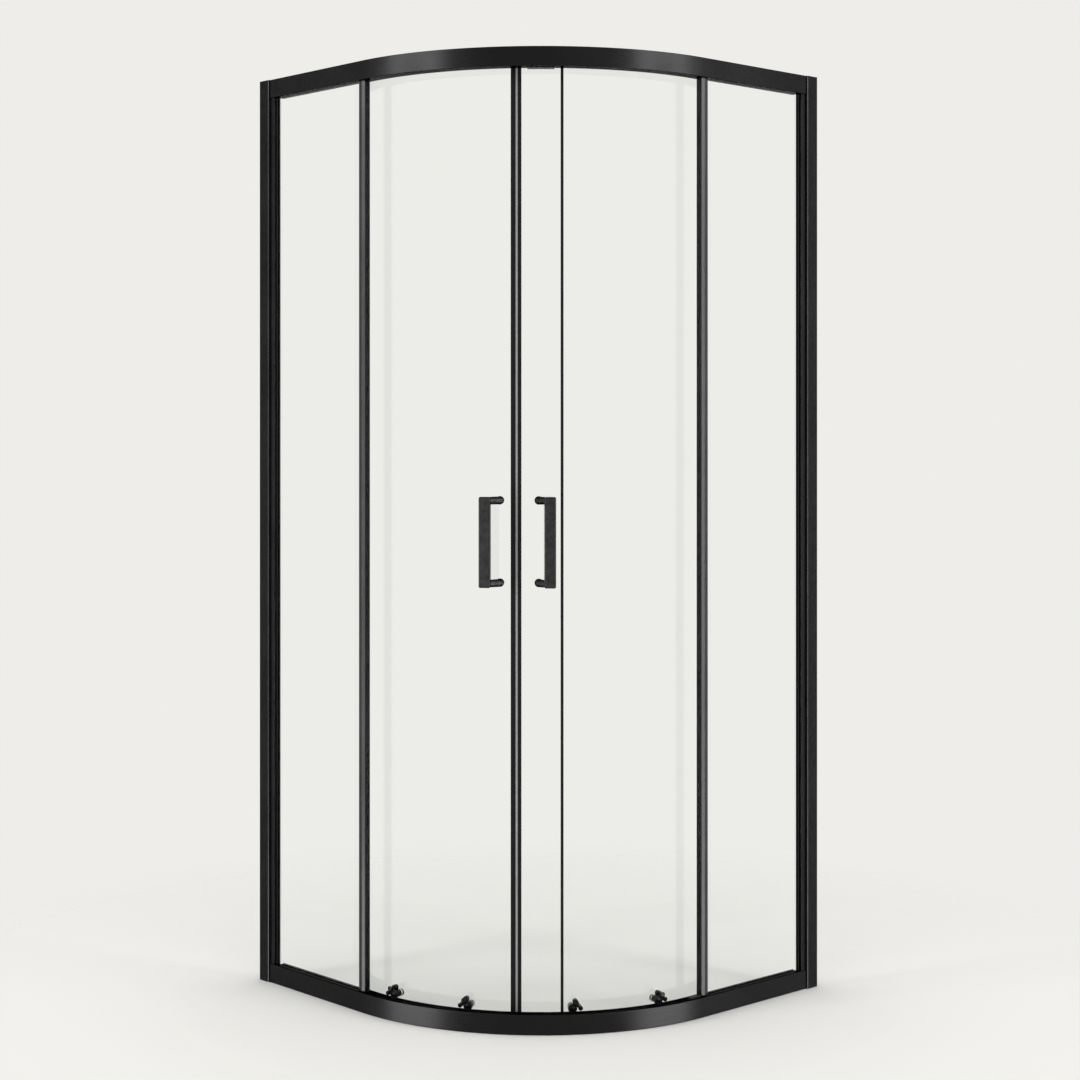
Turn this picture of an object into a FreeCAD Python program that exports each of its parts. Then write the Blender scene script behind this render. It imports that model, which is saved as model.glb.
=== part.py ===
import FreeCAD, Part
import os
import re
import Sketcher
from FreeCAD import Placement, Rotation, Vector

# Quadrant shower enclosure: two walls meet at the back corner, a straight fixed panel runs out
# from each wall, and two curved doors on rollers close the quarter round between them.
# Frame: +Z up, floor at zero, origin under the middle of the overall square. The left wall is the
# plane of lowest X, the back wall the plane of highest Y, and the doors bulge towards +X and -Y.
#
# Across a rail, "depth" is counted inwards from the outer face of the rails. Along a fixed panel,
# "reach" is counted from its wall. On the quarter round, places are given by the radius about the
# arc's centre and by an angle from the middle of the arc, positive towards the right panel.

SIZES = {
    # overall
    "wallToFace": 805, "straight": 335, "tall": 1850,
    # wall profiles
    "profileProud": 3, "profileReach": 31, "profileAcross": 33, "profileWall": 1.8,
    "profileBase": 2, "capThick": 1.5, "wallHole": 6, "wallHoleEnd": 150,
    # rails
    "railDepth": 38, "bottomTall": 38, "topTall": 37, "skin": 1.6, "boxDepth": 7,
    "bedDepth": 9, "bedFloor": 9, "bedLip": 2, "ledgeDrop": 6, "lipTall": 1.5, "lipWide": 1.2,
    "trackRaise": 2, "portBlock": 6.4, "portBore": 3.4,
    # jambs
    "jambFront": 13, "jambWeb": 2, "jambWall": 1.5, "jambBack": 6, "slideGap": 0.3,
    # fixed glass and posts
    "fixedGlass": 5, "bedGap": 2, "postWide": 17, "postDeep": 14, "postSlot": 12,
    "postGap": 0.3, "postWall": 1.5, "postBevel": 2.5, "gasketLip": 4,
    # doors
    "doorGap": 7.5, "doorGlass": 5, "doorFoot": 14, "doorHead": 6, "seamAngle": -3.86,
    "pairAngle": -2.9, "leftSpan": 48.8, "rightSpan": 55.2, "leadEdge": 3.4, "leadWall": 1,
    "glassHole": 12,
    # rollers
    "leftNear": 12.8, "leftFar": 34.5, "rightNear": 13.35, "rightFar": 36.4,
    "wheelRadius": 8.7, "wheelWide": 5, "wheelInset": 7, "axleRadius": 2.5, "runFit": 0.05, "trackGap": 0.3,
    "carrierThick": 9, "carrierGap": 0.4, "bossRadius": 5.8, "nutRadius": 7.4,
    "buttonRadius": 3.2, "buttonDeep": 3.2, "buttonEase": 1.2, "buttonRise": 1.6,
    "buttonAside": 6.8, "buttonCap": 5.2, "capDeep": 2, "capGap": 0.4, "screwAway": 6.4,
    "screwOut": 0.2, "screwBoss": 4.3, "lobeRadius": 5.3, "lobeInset": 10,
    "buttonTravel": 1.5, "springWall": 1.2, "pinHead": 0.9, "axleDeep": 8, "axleGap": 0.3,
    "axleRoom": 8.6, "hubRadius": 6.8, "plateReach": 16, "plateToe": 7, "bossReach": 4,
    "bossGap": 0.1, "nutThick": 5, "nutGap": 0.5, "nutEase": 1.2, "adjustLong": 12,
    "adjustOut": 0.6, "slotDeep": 1, "slotWide": 0.8, "hubRim": 2.4, "dishDeep": 0.8,
    "dishEase": 0.5, "tyreBand": 1.8, "tyreEase": 0.7,
    # handles
    "handleAngle": 5, "handleMid": 920.7, "handleTall": 171, "barWide": 22, "barThick": 9,
    "standOff": 36, "barAside": 21.5, "barCorner": 3, "barRim": 1.2, "legTall": 15,
    "footRadius": 7.5, "footThick": 7, "footEase": 1.5, "legDip": 1, "legEase": 0.5,
    "washerThick": 1.5, "washerLip": 0.6, "screwHead": 4.5,
    # seals and strip
    "sealWide": 6.2, "sealThick": 8.9, "magnetWide": 4.6, "clipWall": 1.2, "clipGap": 0.2,
    "clipReach": 10, "sealWall": 0.5, "magnetGap": 0.1, "magnetInset": 0.4, "finReach": 17.5,
    "finThick": 1, "finEnd": 3, "sweepFoot": 3, "sweepReach": 8, "sweepStart": 11.4,
    "stripWide": 5.4, "stripThick": 3, "stripAngle": 11.9,
    # stops and screws
    "stopWide": 55, "stopTall": 2.6, "stopInset": 2, "stopAngle": 2.6, "plugWide": 29,
    "plugTall": 3.5, "leftStopBack": 117, "rightStopBack": 103, "stopLong": 22,
    "stopSlope": 2, "shankRadius": 1.6, "headRadius": 2.8, "headTop": 1.7, "headTall": 2.4,
    "screwLong": 18, "jambScrewEnd": 200, "coverWall": 1.4, "coverGap": 0.3,
}

doc = FreeCAD.newDocument("QuadrantEnclosure")
sheet = doc.addObject("Spreadsheet::Sheet", "Sizes")
for row, (alias, value) in enumerate(SIZES.items(), start=1):
    sheet.set("A%d" % row, alias)
    sheet.set("B%d" % row, str(value))
    sheet.setAlias("B%d" % row, alias)
doc.recompute()

subParts = []

# places worked out from the sheet
half = "((wallToFace + profileProud) / 2)"
face = "(wallToFace - %s)" % half
centre = "(straight - %s)" % half
arcRadius = "(wallToFace - straight)"
glassRadius = "(%s - railDepth - doorGap)" % arcRadius
backRadius = "(%s - doorGlass)" % glassRadius
wheelRing = "(%s - railDepth + wheelInset)" % arcRadius
lobeFront = "(%s - railDepth + lobeInset)" % arcRadius
buttonOut = "(wheelRadius + buttonRise)"
screwAside = "(wheelRadius + screwAway)"
bottomGround = "(bottomTall - ledgeDrop)"
bottomWheelTall = "(%s + trackGap + wheelRadius)" % bottomGround
topFloor = "(tall - topTall + trackRaise)"
topWheelTall = "(%s + skin + trackGap + wheelRadius)" % topFloor
innerWall = "(boxDepth + bedDepth)"
postFoot = "(bottomTall - bedLip)"


def cells(text):
    """the text with each alias written as a cell of the sheet"""
    def swap(match):
        word = match.group(0)
        return "Sizes." + word if word in SIZES else word
    return re.sub(r"[A-Za-z]\w*", swap, str(text))


def number(text):
    return float(sheet.evalExpression(cells(text)))


def bind(thing, prop, text):
    thing.setExpression(prop, cells(text))


def originPlane(body, role):
    return next(f for f in body.Origin.OriginFeatures if f.Role == role)


def newBody(name):
    body = doc.addObject("PartDesign::Body", name)
    body.Label = name
    return body


def newSketch(body, role, name, offset=None):
    sketch = body.newObject("Sketcher::SketchObject", name)
    sketch.AttachmentSupport = (originPlane(body, role), [""])
    sketch.MapMode = "FlatFace"
    if offset is not None:
        bind(sketch, "AttachmentOffset.Base.z", offset)
    return sketch


def pin(sketch, geometry, point, x, y):
    """hold one point of the sketch at the sheet's x and y"""
    for kind, text in (("DistanceX", x), ("DistanceY", y)):
        index = sketch.addConstraint(
            Sketcher.Constraint(kind, -1, 1, geometry, point, number(text)))
        bind(sketch, "Constraints[%d]" % index, text)


def addLoop(sketch, corners):
    first = sketch.GeometryCount
    places = [Vector(number(x), number(y), 0) for x, y in corners]
    count = len(places)
    for i in range(count):
        sketch.addGeometry(Part.LineSegment(places[i], places[(i + 1) % count]))
    for i in range(count):
        sketch.addConstraint(
            Sketcher.Constraint("Coincident", first + i, 2, first + (i + 1) % count, 1))
    for i, (x, y) in enumerate(corners):
        pin(sketch, first + i, 1, x, y)


def addCircle(sketch, x, y, radius):
    index = sketch.addGeometry(
        Part.Circle(Vector(number(x), number(y), 0), Vector(0, 0, 1), number(radius)))
    pin(sketch, index, 3, x, y)
    held = sketch.addConstraint(Sketcher.Constraint("Radius", index, number(radius)))
    bind(sketch, "Constraints[%d]" % held, radius)


def rectangle(x0, y0, x1, y1):
    return [(x0, y0), (x1, y0), (x1, y1), (x0, y1)]


def pad(body, name, role, offset, length, loops=(), circles=()):
    sketch = newSketch(body, role, name + "Sketch", offset)
    for loop in loops:
        addLoop(sketch, loop)
    for circle in circles:
        addCircle(sketch, *circle)
    feature = body.newObject("PartDesign::Pad", name)
    feature.Profile = (sketch, [""])
    bind(feature, "Length", length)
    return feature


def pocket(body, name, role, offset, length, loops=(), circles=()):
    """cut from the sketch's plane against its normal, by length"""
    sketch = newSketch(body, role, name + "Sketch", offset)
    for loop in loops:
        addLoop(sketch, loop)
    for circle in circles:
        addCircle(sketch, *circle)
    feature = body.newObject("PartDesign::Pocket", name)
    feature.Profile = (sketch, [""])
    bind(feature, "Length", length)
    return feature


def turned(body, name, loops, angle):
    """revolve loops of (radius, height) about the body's own Z axis"""
    sketch = newSketch(body, "XZ_Plane", name + "Sketch")
    for loop in loops:
        addLoop(sketch, loop)
    feature = body.newObject("PartDesign::Revolution", name)
    feature.Profile = (sketch, [""])
    feature.ReferenceAxis = (sketch, ["V_Axis"])
    bind(feature, "Angle", angle)
    return feature


def seat(thing, x, y, angle):
    """stand the piece at x, y and turn it about Z"""
    thing.Placement = Placement(Vector(), Rotation(Vector(0, 0, 1), 1))
    bind(thing, "Placement.Base.x", x)
    bind(thing, "Placement.Base.y", y)
    bind(thing, "Placement.Rotation.Angle", angle)
    return thing


def onPanel(thing, side):
    """local X is the reach from the wall; local Y times the side's hand is the depth"""
    if side["name"] == "left":
        return seat(thing, "0 - " + half, "0 - " + face, "0")
    return seat(thing, face, half, "0 - 90")


def onArc(thing, angle):
    """local X is the radius about the arc's centre, local Y runs towards the right panel"""
    return seat(thing, centre, "0 - " + centre, "%s - 45" % angle)


def cylinder(name, radius, length, x, y, z, along="X"):
    rod = doc.addObject("Part::Cylinder", name)
    bind(rod, "Radius", radius)
    bind(rod, "Height", length)
    turns = {"X": Rotation(Vector(0, 1, 0), 90), "Y": Rotation(Vector(1, 0, 0), -90),
             "-Y": Rotation(Vector(1, 0, 0), 90), "-X": Rotation(Vector(0, 1, 0), -90),
             "Z": Rotation()}
    rod.Placement = Placement(Vector(), turns[along])
    for axis, text in (("x", x), ("y", y), ("z", z)):
        bind(rod, "Placement.Base." + axis, text)
    return rod


def block(name, x, y, z, long, wide, high):
    box = doc.addObject("Part::Box", name)
    for prop, text in (("Length", long), ("Width", wide), ("Height", high)):
        bind(box, prop, text)
    for axis, text in (("x", x), ("y", y), ("z", z)):
        bind(box, "Placement.Base." + axis, text)
    return box


def fuse(name, pieces):
    joined = doc.addObject("Part::MultiFuse", name)
    joined.Shapes = pieces
    joined.Refine = True
    return joined


def cut(name, base, tool):
    result = doc.addObject("Part::Cut", name)
    result.Base = base
    result.Tool = tool
    return result


def group(name, pieces):
    joined = doc.addObject("Part::Compound", name)
    joined.Links = pieces
    return joined


def keep(thing, label):
    thing.Label = label
    subParts.append(thing)
    return thing


SIDES = (
    {"name": "left", "hand": "1", "far": "(0 - 1)", "span": "leftSpan", "lead": "leadEdge",
     "rollers": ("leftNear", "leftFar")},
    {"name": "right", "hand": "(0 - 1)", "far": "1", "span": "rightSpan",
     "lead": "(magnetWide + leadWall)", "rollers": ("rightNear", "rightFar")},
)


def handed(side, corners):
    """corners of (reach, depth) in the side's own local X and Y"""
    return [(x, "%s * (%s)" % (side["hand"], y)) for x, y in corners]


def railPath(body, name):
    sketch = newSketch(body, "XY_Plane", name)
    start = ("profileReach + slideGap / 2 - " + half, "0 - " + face)
    bendA = (centre, "0 - " + face)
    bendB = (face, "0 - " + centre)
    end = (face, half + " - profileReach - slideGap / 2")
    places = [Vector(number(x), number(y), 0) for x, y in (start, bendA, bendB, end)]
    middle = Vector(number(centre), -number(centre), 0)
    radius = number(arcRadius)
    sketch.addGeometry(Part.LineSegment(places[0], places[1]))
    ring = Part.Circle(middle, Vector(0, 0, 1), radius)
    sketch.addGeometry(Part.ArcOfCircle(ring, ring.parameter(places[1]), ring.parameter(places[2])))
    sketch.addGeometry(Part.LineSegment(places[2], places[3]))
    sketch.addConstraint(Sketcher.Constraint("Coincident", 0, 2, 1, 1))
    sketch.addConstraint(Sketcher.Constraint("Coincident", 1, 2, 2, 1))
    pin(sketch, 0, 1, *start)
    pin(sketch, 1, 1, *bendA)
    pin(sketch, 1, 2, *bendB)
    pin(sketch, 2, 2, *end)
    held = sketch.addConstraint(Sketcher.Constraint("Radius", 1, radius))
    bind(sketch, "Constraints[%d]" % held, arcRadius)
    return sketch


def makeRail(name, outline, hollows, ports):
    """one extrusion bent to the plan: outline and hollows are corners of (depth, height)"""
    body = newBody(name)
    path = railPath(body, name + "Path")
    section = newSketch(body, "YZ_Plane", name + "Section",
                        "profileReach + slideGap / 2 - " + half)
    shift = "0 - %s + " % face
    for corners in [outline] + hollows:
        addLoop(section, [(shift + x, y) for x, y in corners])
    for x, y in ports:
        addCircle(section, shift + x, y, "portBore / 2")
    sweep = body.newObject("PartDesign::AdditivePipe", name + "Sweep")
    sweep.Profile = (section, [""])
    sweep.Spine = (path, ["Edge1", "Edge2", "Edge3"])
    return keep(body, name)


def bottomRail():
    track = innerWall + " + skin"
    lip = "railDepth - lipWide"
    outline = [
        ("0", "0"), ("railDepth", "0"), ("railDepth", bottomGround + " + lipTall"),
        (lip, bottomGround + " + lipTall"), (lip, bottomGround), (track, bottomGround),
        (track, postFoot), (innerWall, postFoot), (innerWall, "bedFloor"),
        ("boxDepth", "bedFloor"), ("boxDepth", "bottomTall"), ("0", "bottomTall")]
    box = rectangle("skin", "skin", "boxDepth - skin", "bottomTall - skin")
    port = track + " + portBlock"
    chamber = [
        (port, "skin"), ("railDepth - skin", "skin"),
        ("railDepth - skin", bottomGround + " - skin"),
        (track, bottomGround + " - skin"), (track, "skin + portBlock"),
        (port, "skin + portBlock")]
    ports = [("boxDepth + bedDepth / 2", "bedFloor / 2"),
             (track + " + portBlock / 2", "skin + portBlock / 2")]
    return makeRail("bottom_rail", outline, [box, chamber], ports)


def topRail():
    track = innerWall + " + skin"
    lip = "railDepth - lipWide"
    foot = "tall - topTall"
    port = track + " + portBlock"
    outline = [
        ("0", foot), ("boxDepth", foot), ("boxDepth", "tall - bedFloor"),
        (innerWall, "tall - bedFloor"), (innerWall, topFloor), ("railDepth", topFloor),
        ("railDepth", topFloor + " + skin + lipTall"), (lip, topFloor + " + skin + lipTall"),
        (lip, topFloor + " + skin"), (track, topFloor + " + skin"),
        (track, "tall - skin - portBlock"), (port, "tall - skin - portBlock"),
        (port, "tall - skin"), ("railDepth", "tall - skin"), ("railDepth", "tall"),
        ("0", "tall")]
    box = rectangle("skin", foot + " + skin", "boxDepth - skin", "tall - skin")
    ports = [("boxDepth + bedDepth / 2", "tall - bedFloor / 2"),
             (track + " + portBlock / 2", "tall - skin - portBlock / 2")]
    return makeRail("top_rail", outline, [box], ports)


def wallProfile(side):
    """channel screwed to the wall, with the jamb sliding in it"""
    name = side["name"] + "_wall_profile"
    body = newBody(name)
    proud, wall = "0 - profileProud", "profileWall"
    across = "profileAcross - profileProud"
    section = [
        ("0", proud), ("profileReach", proud), ("profileReach", proud + " + " + wall),
        ("profileBase", proud + " + " + wall), ("profileBase", across + " - " + wall),
        ("profileReach", across + " - " + wall), ("profileReach", across), ("0", across)]
    pad(body, name + "Pad", "XY_Plane", None, "tall - capThick", [handed(side, section)])
    doc.recompute()
    middle = "%s * (profileAcross / 2 - profileProud)" % side["hand"]
    third = "(tall - 2 * wallHoleEnd) / 3"
    heights = ("wallHoleEnd", "wallHoleEnd + " + third, "tall - wallHoleEnd - " + third,
               "tall - wallHoleEnd")
    pocket(body, name + "WallHoles", "YZ_Plane", "profileBase", "2 * profileBase",
           circles=[(middle, h, "wallHole / 2") for h in heights])
    sketch = newSketch(body, "XZ_Plane", name + "SideHolesSketch",
                       "%s * (profileProud - profileAcross + 2 * %s)" % (side["hand"], wall))
    for h in jambScrewHeights():
        addCircle(sketch, "profileReach / 2", h, "shankRadius + runFit")
    holes = body.newObject("PartDesign::Pocket", name + "SideHoles")
    holes.Profile = (sketch, [""])
    bind(holes, "Length", "4 * profileWall")
    holes.Reversed = side["name"] == "right"
    return keep(onPanel(body, side), name)


def jambScrewHeights():
    return ("jambScrewEnd", "tall / 2", "tall - jambScrewEnd")


def jamb(side):
    """inner profile: a slide inside the wall profile and a glass pocket between the rails"""
    name = side["name"] + "_jamb"
    body = newBody(name)
    low = "profileWall + slideGap - profileProud"
    high = "profileAcross - profileProud - profileWall - slideGap"
    web = "profileReach - jambWeb"
    slide = [
        ("jambBack", low), ("profileReach", low), ("profileReach", high), ("jambBack", high),
        ("jambBack", high + " - jambWall"), (web, high + " - jambWall"),
        (web, low + " + jambWall"), ("jambBack", low + " + jambWall")]
    pad(body, name + "Slide", "XY_Plane", None, "tall - capThick - slideGap",
        [handed(side, slide)])
    doc.recompute()
    tip = "profileReach + jambFront"
    pocketBack = "profileReach + 3 * jambWall"
    front = [
        ("profileReach - jambWeb / 2", "jambWall"), (tip, "jambWall"), (tip, "boxDepth"),
        (pocketBack, "boxDepth"), (pocketBack, innerWall), (tip, innerWall),
        (tip, innerWall + " + 2 * jambWall"), ("profileReach - jambWeb / 2",
                                              innerWall + " + 2 * jambWall")]
    pad(body, name + "Front", "XY_Plane", "bottomTall + slideGap",
        "tall - topTall - bottomTall - 2 * slideGap", [handed(side, front)])
    doc.recompute()
    ends = []
    for depth, height in railPorts():
        ends.append(("%s * (%s)" % (side["hand"], depth), height, "shankRadius + runFit"))
    pocket(body, name + "EndHoles", "YZ_Plane", "profileReach", "2 * jambWeb", circles=ends)
    sketch = newSketch(body, "XZ_Plane", name + "SideHolesSketch",
                       "%s * (0 - (%s) + 2 * jambWall)" % (side["hand"], high))
    for h in jambScrewHeights():
        addCircle(sketch, "profileReach / 2", h, "shankRadius + runFit")
    holes = body.newObject("PartDesign::Pocket", name + "SideHoles")
    holes.Profile = (sketch, [""])
    bind(holes, "Length", "4 * jambWall")
    holes.Reversed = side["name"] == "right"
    return keep(onPanel(body, side), name)


def railPorts():
    """depth and height of the screw ports in the ends of both rails"""
    bed = "boxDepth + bedDepth / 2"
    inner = innerWall + " + skin + portBlock / 2"
    return ((bed, "bedFloor / 2"), (inner, "skin + portBlock / 2"),
            (bed, "tall - bedFloor / 2"), (inner, "tall - skin - portBlock / 2"))


def fixedGlass(side):
    name = side["name"] + "_fixed_glass"
    body = newBody(name)
    start = "profileReach + 3 * jambWall + bedGap"
    end = "straight - postWide + postSlot - postGap"
    section = rectangle(start, "boxDepth + bedGap", end, "boxDepth + bedGap + fixedGlass")
    pad(body, name + "Pad", "XY_Plane", "bedFloor + bedGap",
        "tall - 2 * bedFloor - 2 * bedGap", [handed(side, section)])
    return keep(onPanel(body, side), name)


def post(side):
    """upright that closes the fixed glass where the quarter round begins"""
    name = side["name"] + "_post"
    body = newBody(name)
    back, mouth = "straight", "straight - postWide"
    low, high = "boxDepth + slideGap / 2", "boxDepth + slideGap / 2 + postDeep"
    slotLow = "boxDepth + bedGap - postGap"
    slotHigh = "boxDepth + bedGap + fixedGlass + postGap"
    outer = [
        (mouth, low), (back + " - postBevel", low), (back, low + " + postBevel"), (back, high),
        (mouth, high), (mouth, slotHigh), (mouth + " + postSlot", slotHigh),
        (mouth + " + postSlot", slotLow), (mouth, slotLow)]
    hollow = rectangle(mouth + " + postWall", slotHigh + " + postWall",
                       back + " - postWall", high + " - postWall")
    pad(body, name + "Pad", "XY_Plane", postFoot, topFloor + " - " + postFoot,
        [handed(side, outer), handed(side, hollow)])
    return keep(onPanel(body, side), name)


def glazingGasket(side):
    """wedge seal of the glass in the jamb, with a lip that shows beyond it"""
    name = side["name"] + "_glazing_gasket"
    body = newBody(name)
    back = "profileReach + 3 * jambWall + slideGap"
    tip = "profileReach + jambFront + gasketLip"
    low, high = "boxDepth + slideGap / 3", innerWall + " - slideGap / 3"
    glassLow = "boxDepth + bedGap - slideGap / 3"
    glassHigh = "boxDepth + bedGap + fixedGlass + slideGap / 3"
    seat1 = "profileReach + 3 * jambWall + bedGap - slideGap / 3"
    section = [
        (back, low), (tip, low), (tip, glassLow), (seat1, glassLow), (seat1, glassHigh),
        (tip, glassHigh), (tip, high), (back, high)]
    pad(body, name + "Pad", "XY_Plane", "bottomTall + slideGap",
        "tall - topTall - bottomTall - 2 * slideGap", [handed(side, section)])
    return keep(onPanel(body, side), name)


def railGasket(side, name, bottom):
    """bed of the fixed glass in a rail's channel"""
    body = newBody(name)
    low, high = "boxDepth + slideGap / 3", innerWall + " - slideGap / 3"
    glassLow = "boxDepth + bedGap - slideGap / 3"
    glassHigh = "boxDepth + bedGap + fixedGlass + slideGap / 3"
    start = "profileReach + jambFront + gasketLip + slideGap"
    length = "straight - postWide - slideGap - (%s)" % start
    rise = "bottomTall - bedLip - bedFloor"
    channel = [
        (low, "0"), (high, "0"), (high, rise), (glassHigh, rise),
        (glassHigh, "bedGap - slideGap / 3"), (glassLow, "bedGap - slideGap / 3"),
        (glassLow, rise), (low, rise)]
    base = "bedFloor + slideGap / 3" if bottom else "tall - bedFloor - slideGap / 3"
    sign = "" if bottom else "0 - "
    corners = [("%s * (%s)" % (side["hand"], d), "%s + %s(%s)" % (base, sign, z) if bottom
                else "%s - (%s)" % (base, z)) for d, z in channel]
    pad(body, name + "Pad", "YZ_Plane", start, length, [corners])
    return onPanel(body, side)


def screw(name, x, y, z, along, length="screwLong"):
    """pan head screw: the head's underside is at the place, the shank runs along"""
    back = {"X": "-X", "Y": "-Y", "-X": "X", "-Y": "Y"}[along]
    shank = cylinder(name + "Shank", "shankRadius", length, x, y, z, along)
    head = doc.addObject("Part::Cone", name + "Head")
    bind(head, "Radius1", "headRadius")
    bind(head, "Radius2", "headTop")
    bind(head, "Height", "headTall")
    turns = {"X": Rotation(Vector(0, 1, 0), 90), "-X": Rotation(Vector(0, 1, 0), -90),
             "Y": Rotation(Vector(1, 0, 0), -90), "-Y": Rotation(Vector(1, 0, 0), 90)}
    head.Placement = Placement(Vector(), turns[back])
    for axis, text in (("x", x), ("y", y), ("z", z)):
        bind(head, "Placement.Base." + axis, text)
    return fuse(name, [shank, head])


def railScrews():
    """through the jambs' webs into the ports of both rails"""
    sets = []
    for side in SIDES:
        pieces = []
        for i, (depth, height) in enumerate(railPorts()):
            pieces.append(screw("%sRailScrew%d" % (side["name"], i),
                                "profileReach - jambWeb",
                                "%s * (%s)" % (side["hand"], depth), height, "X"))
        sets.append(onPanel(group(side["name"] + "RailScrews", pieces), side))
    return keep(group("RailScrews", sets), "rail_screws")


def jambScrews():
    """from the cabin side through wall profile and jamb"""
    screws, caps = [], []
    for side in SIDES:
        left = side["name"] == "left"
        inner = "%s * (profileAcross - profileProud)" % side["hand"]
        pieces, covers = [], []
        for i, h in enumerate(jambScrewHeights()):
            name = "%sJambScrew%d" % (side["name"], i)
            pieces.append(screw(name, "profileReach / 2", inner, h, "-Y" if left else "Y",
                                "screwLong / 2"))
            outwards = "Y" if left else "-Y"
            shell = cylinder(name + "Cap", "headRadius + coverGap + coverWall",
                             "headTall + coverGap + coverWall", "profileReach / 2", inner, h,
                             outwards)
            room = cylinder(name + "Room", "headRadius + coverGap", "headTall + coverGap",
                            "profileReach / 2", inner, h, outwards)
            covers.append(cut(name + "Cover", shell, room))
        screws.append(onPanel(group(side["name"] + "JambScrews", pieces), side))
        caps.append(onPanel(group(side["name"] + "ScrewCaps", covers), side))
    keep(group("JambScrews", screws), "jamb_screws")
    keep(group("ScrewCaps", caps), "screw_caps")


def profileCaps():
    """flat caps that close the tops of the wall profiles"""
    caps = []
    for side in SIDES:
        name = side["name"] + "ProfileCap"
        body = newBody(name)
        plate = rectangle("0", "0 - profileProud", "profileReach",
                          "profileAcross - profileProud")
        pad(body, name + "Pad", "XY_Plane", "tall - capThick", "capThick",
            [handed(side, plate)])
        caps.append(onPanel(body, side))
    return keep(group("ProfileCaps", caps), "profile_caps")


def arcSpan(wide, radius):
    """angle that the width takes up on the radius"""
    return "((%s) / (%s) * 180 / pi)" % (wide, radius)


def arcBlock(name, start, span, r0, r1, z0, z1):
    """block that follows the arc over the span from the start angle"""
    body = newBody(name)
    turned(body, name + "Turn", [rectangle(r0, z0, r1, z1)], span)
    return onArc(body, "(%s)" % start)


def stops():
    """buffer over the seam, plug beside the right post and the end stops of the doors"""
    span = arcSpan("stopWide", arcRadius)
    centreStop = arcBlock("CentreStop", "stopAngle - %s / 2" % span, span,
                          arcRadius + " - railDepth + stopInset", arcRadius + " - " + innerWall,
                          topFloor + " - stopTall", topFloor + " - slideGap / 3")
    keep(centreStop, "centre_stop")
    span = arcSpan("plugWide", arcRadius)
    plug = arcBlock("PostPlug", "45 - slideGap - " + span, span,
                    arcRadius + " - %s + slideGap" % innerWall,
                    arcRadius + " - boxDepth - slideGap", "bedFloor + slideGap",
                    "bottomTall + plugTall")
    keep(plug, "post_plug")
    buffers = []
    for side, back in zip(SIDES, ("leftStopBack", "rightStopBack")):
        name = side["name"] + "DoorStop"
        body = newBody(name)
        depths = (innerWall + " + skin + slideGap", "railDepth - skin - slideGap")
        corners = [(d, "%s + %s" % (topFloor, z)) for d, z in (
            (depths[0], "skin"), (depths[1], "skin"), (depths[1], "wheelRadius"),
            (depths[0] + " + stopSlope", "wheelRadius + stopSlope"),
            (depths[0], "wheelRadius"))]
        pad(body, name + "Pad", "YZ_Plane", "straight - %s - stopLong" % back, "stopLong",
            [[("%s * (%s)" % (side["hand"], d), z) for d, z in corners]])
        buffers.append(onPanel(body, side))
    keep(group("DoorStops", buffers), "door_stops")


def rollerAngle(side, which):
    return "(pairAngle + %s * %s)" % (side["far"], which)


def doorGlass(side):
    """curved pane with a hole for each roller and each handle foot"""
    name = side["name"] + "_door_glass"
    body = newBody(name + "Pane")
    lead = arcSpan(side["lead"], glassRadius)
    turned(body, name + "Turn",
           [rectangle(backRadius, "doorFoot", glassRadius, "tall - doorHead")],
           side["span"] + " - " + lead)
    start = "seamAngle + " + lead if side["name"] == "right" else "seamAngle - leftSpan"
    onArc(body, "(%s)" % start)
    holes = []
    for which in side["rollers"]:
        for level, height in (("Low", bottomWheelTall), ("High", topWheelTall)):
            rod = cylinder(name + which + level, "glassHole / 2", "3 * doorGlass",
                           backRadius + " - doorGlass", "0", height)
            holes.append(onArc(group(name + which + level + "Hole", [rod]),
                               rollerAngle(side, which)))
    for i, height in enumerate(handleLevels()):
        rod = cylinder("%sHandle%d" % (name, i), "footRadius / 2 + clipGap", "3 * doorGlass",
                       backRadius + " - doorGlass", "0", height)
        holes.append(onArc(group("%sHandleHole%d" % (name, i), [rod]),
                           rollerAngle(side, "handleAngle")))
    return keep(cut(name, body, group(name + "Holes", holes)), name)


def handleLevels():
    return ("handleMid - handleTall / 2 + legTall / 2",
            "handleMid + handleTall / 2 - legTall / 2")


def tangent(side, text):
    """distance along the arc from the local X axis, away from the seam"""
    return "%s * (%s)" % (side["far"], text)


def away(side, corners):
    """corners of (radius, distance from the seam side) in local X and Y"""
    return [(x, tangent(side, y)) for x, y in corners]


def doorSeal(side):
    """magnetic seal on the leading edge: a clip on the glass and a box for the magnet"""
    name = side["name"] + "_door_seal"
    body = newBody(name)
    inner = "%s - clipGap - clipWall" % backRadius
    outer = "%s + clipGap + clipWall" % glassRadius
    start = "magnetWide + clipGap / 2" if side["name"] == "right" else "clipGap / 2"
    reach = start + " + sealWide" if side["name"] == "right" else "sealThick"
    web = side["lead"] + " - clipGap"
    outline = [(inner, start), (outer, start), (outer, reach),
               (glassRadius + " + clipGap", reach), (glassRadius + " + clipGap", web),
               (backRadius + " - clipGap", web), (backRadius + " - clipGap", reach),
               (inner, reach)]
    loops = [away(side, outline)]
    if side["name"] == "left":
        loops.append(away(side, rectangle(inner + " + clipWall", start + " + sealWall",
                                          outer + " - clipWall", web + " - sealWall")))
    pad(body, name + "Pad", "XY_Plane", "doorFoot", "tall - doorHead - doorFoot", loops)
    return keep(onArc(body, "seamAngle"), name)


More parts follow.
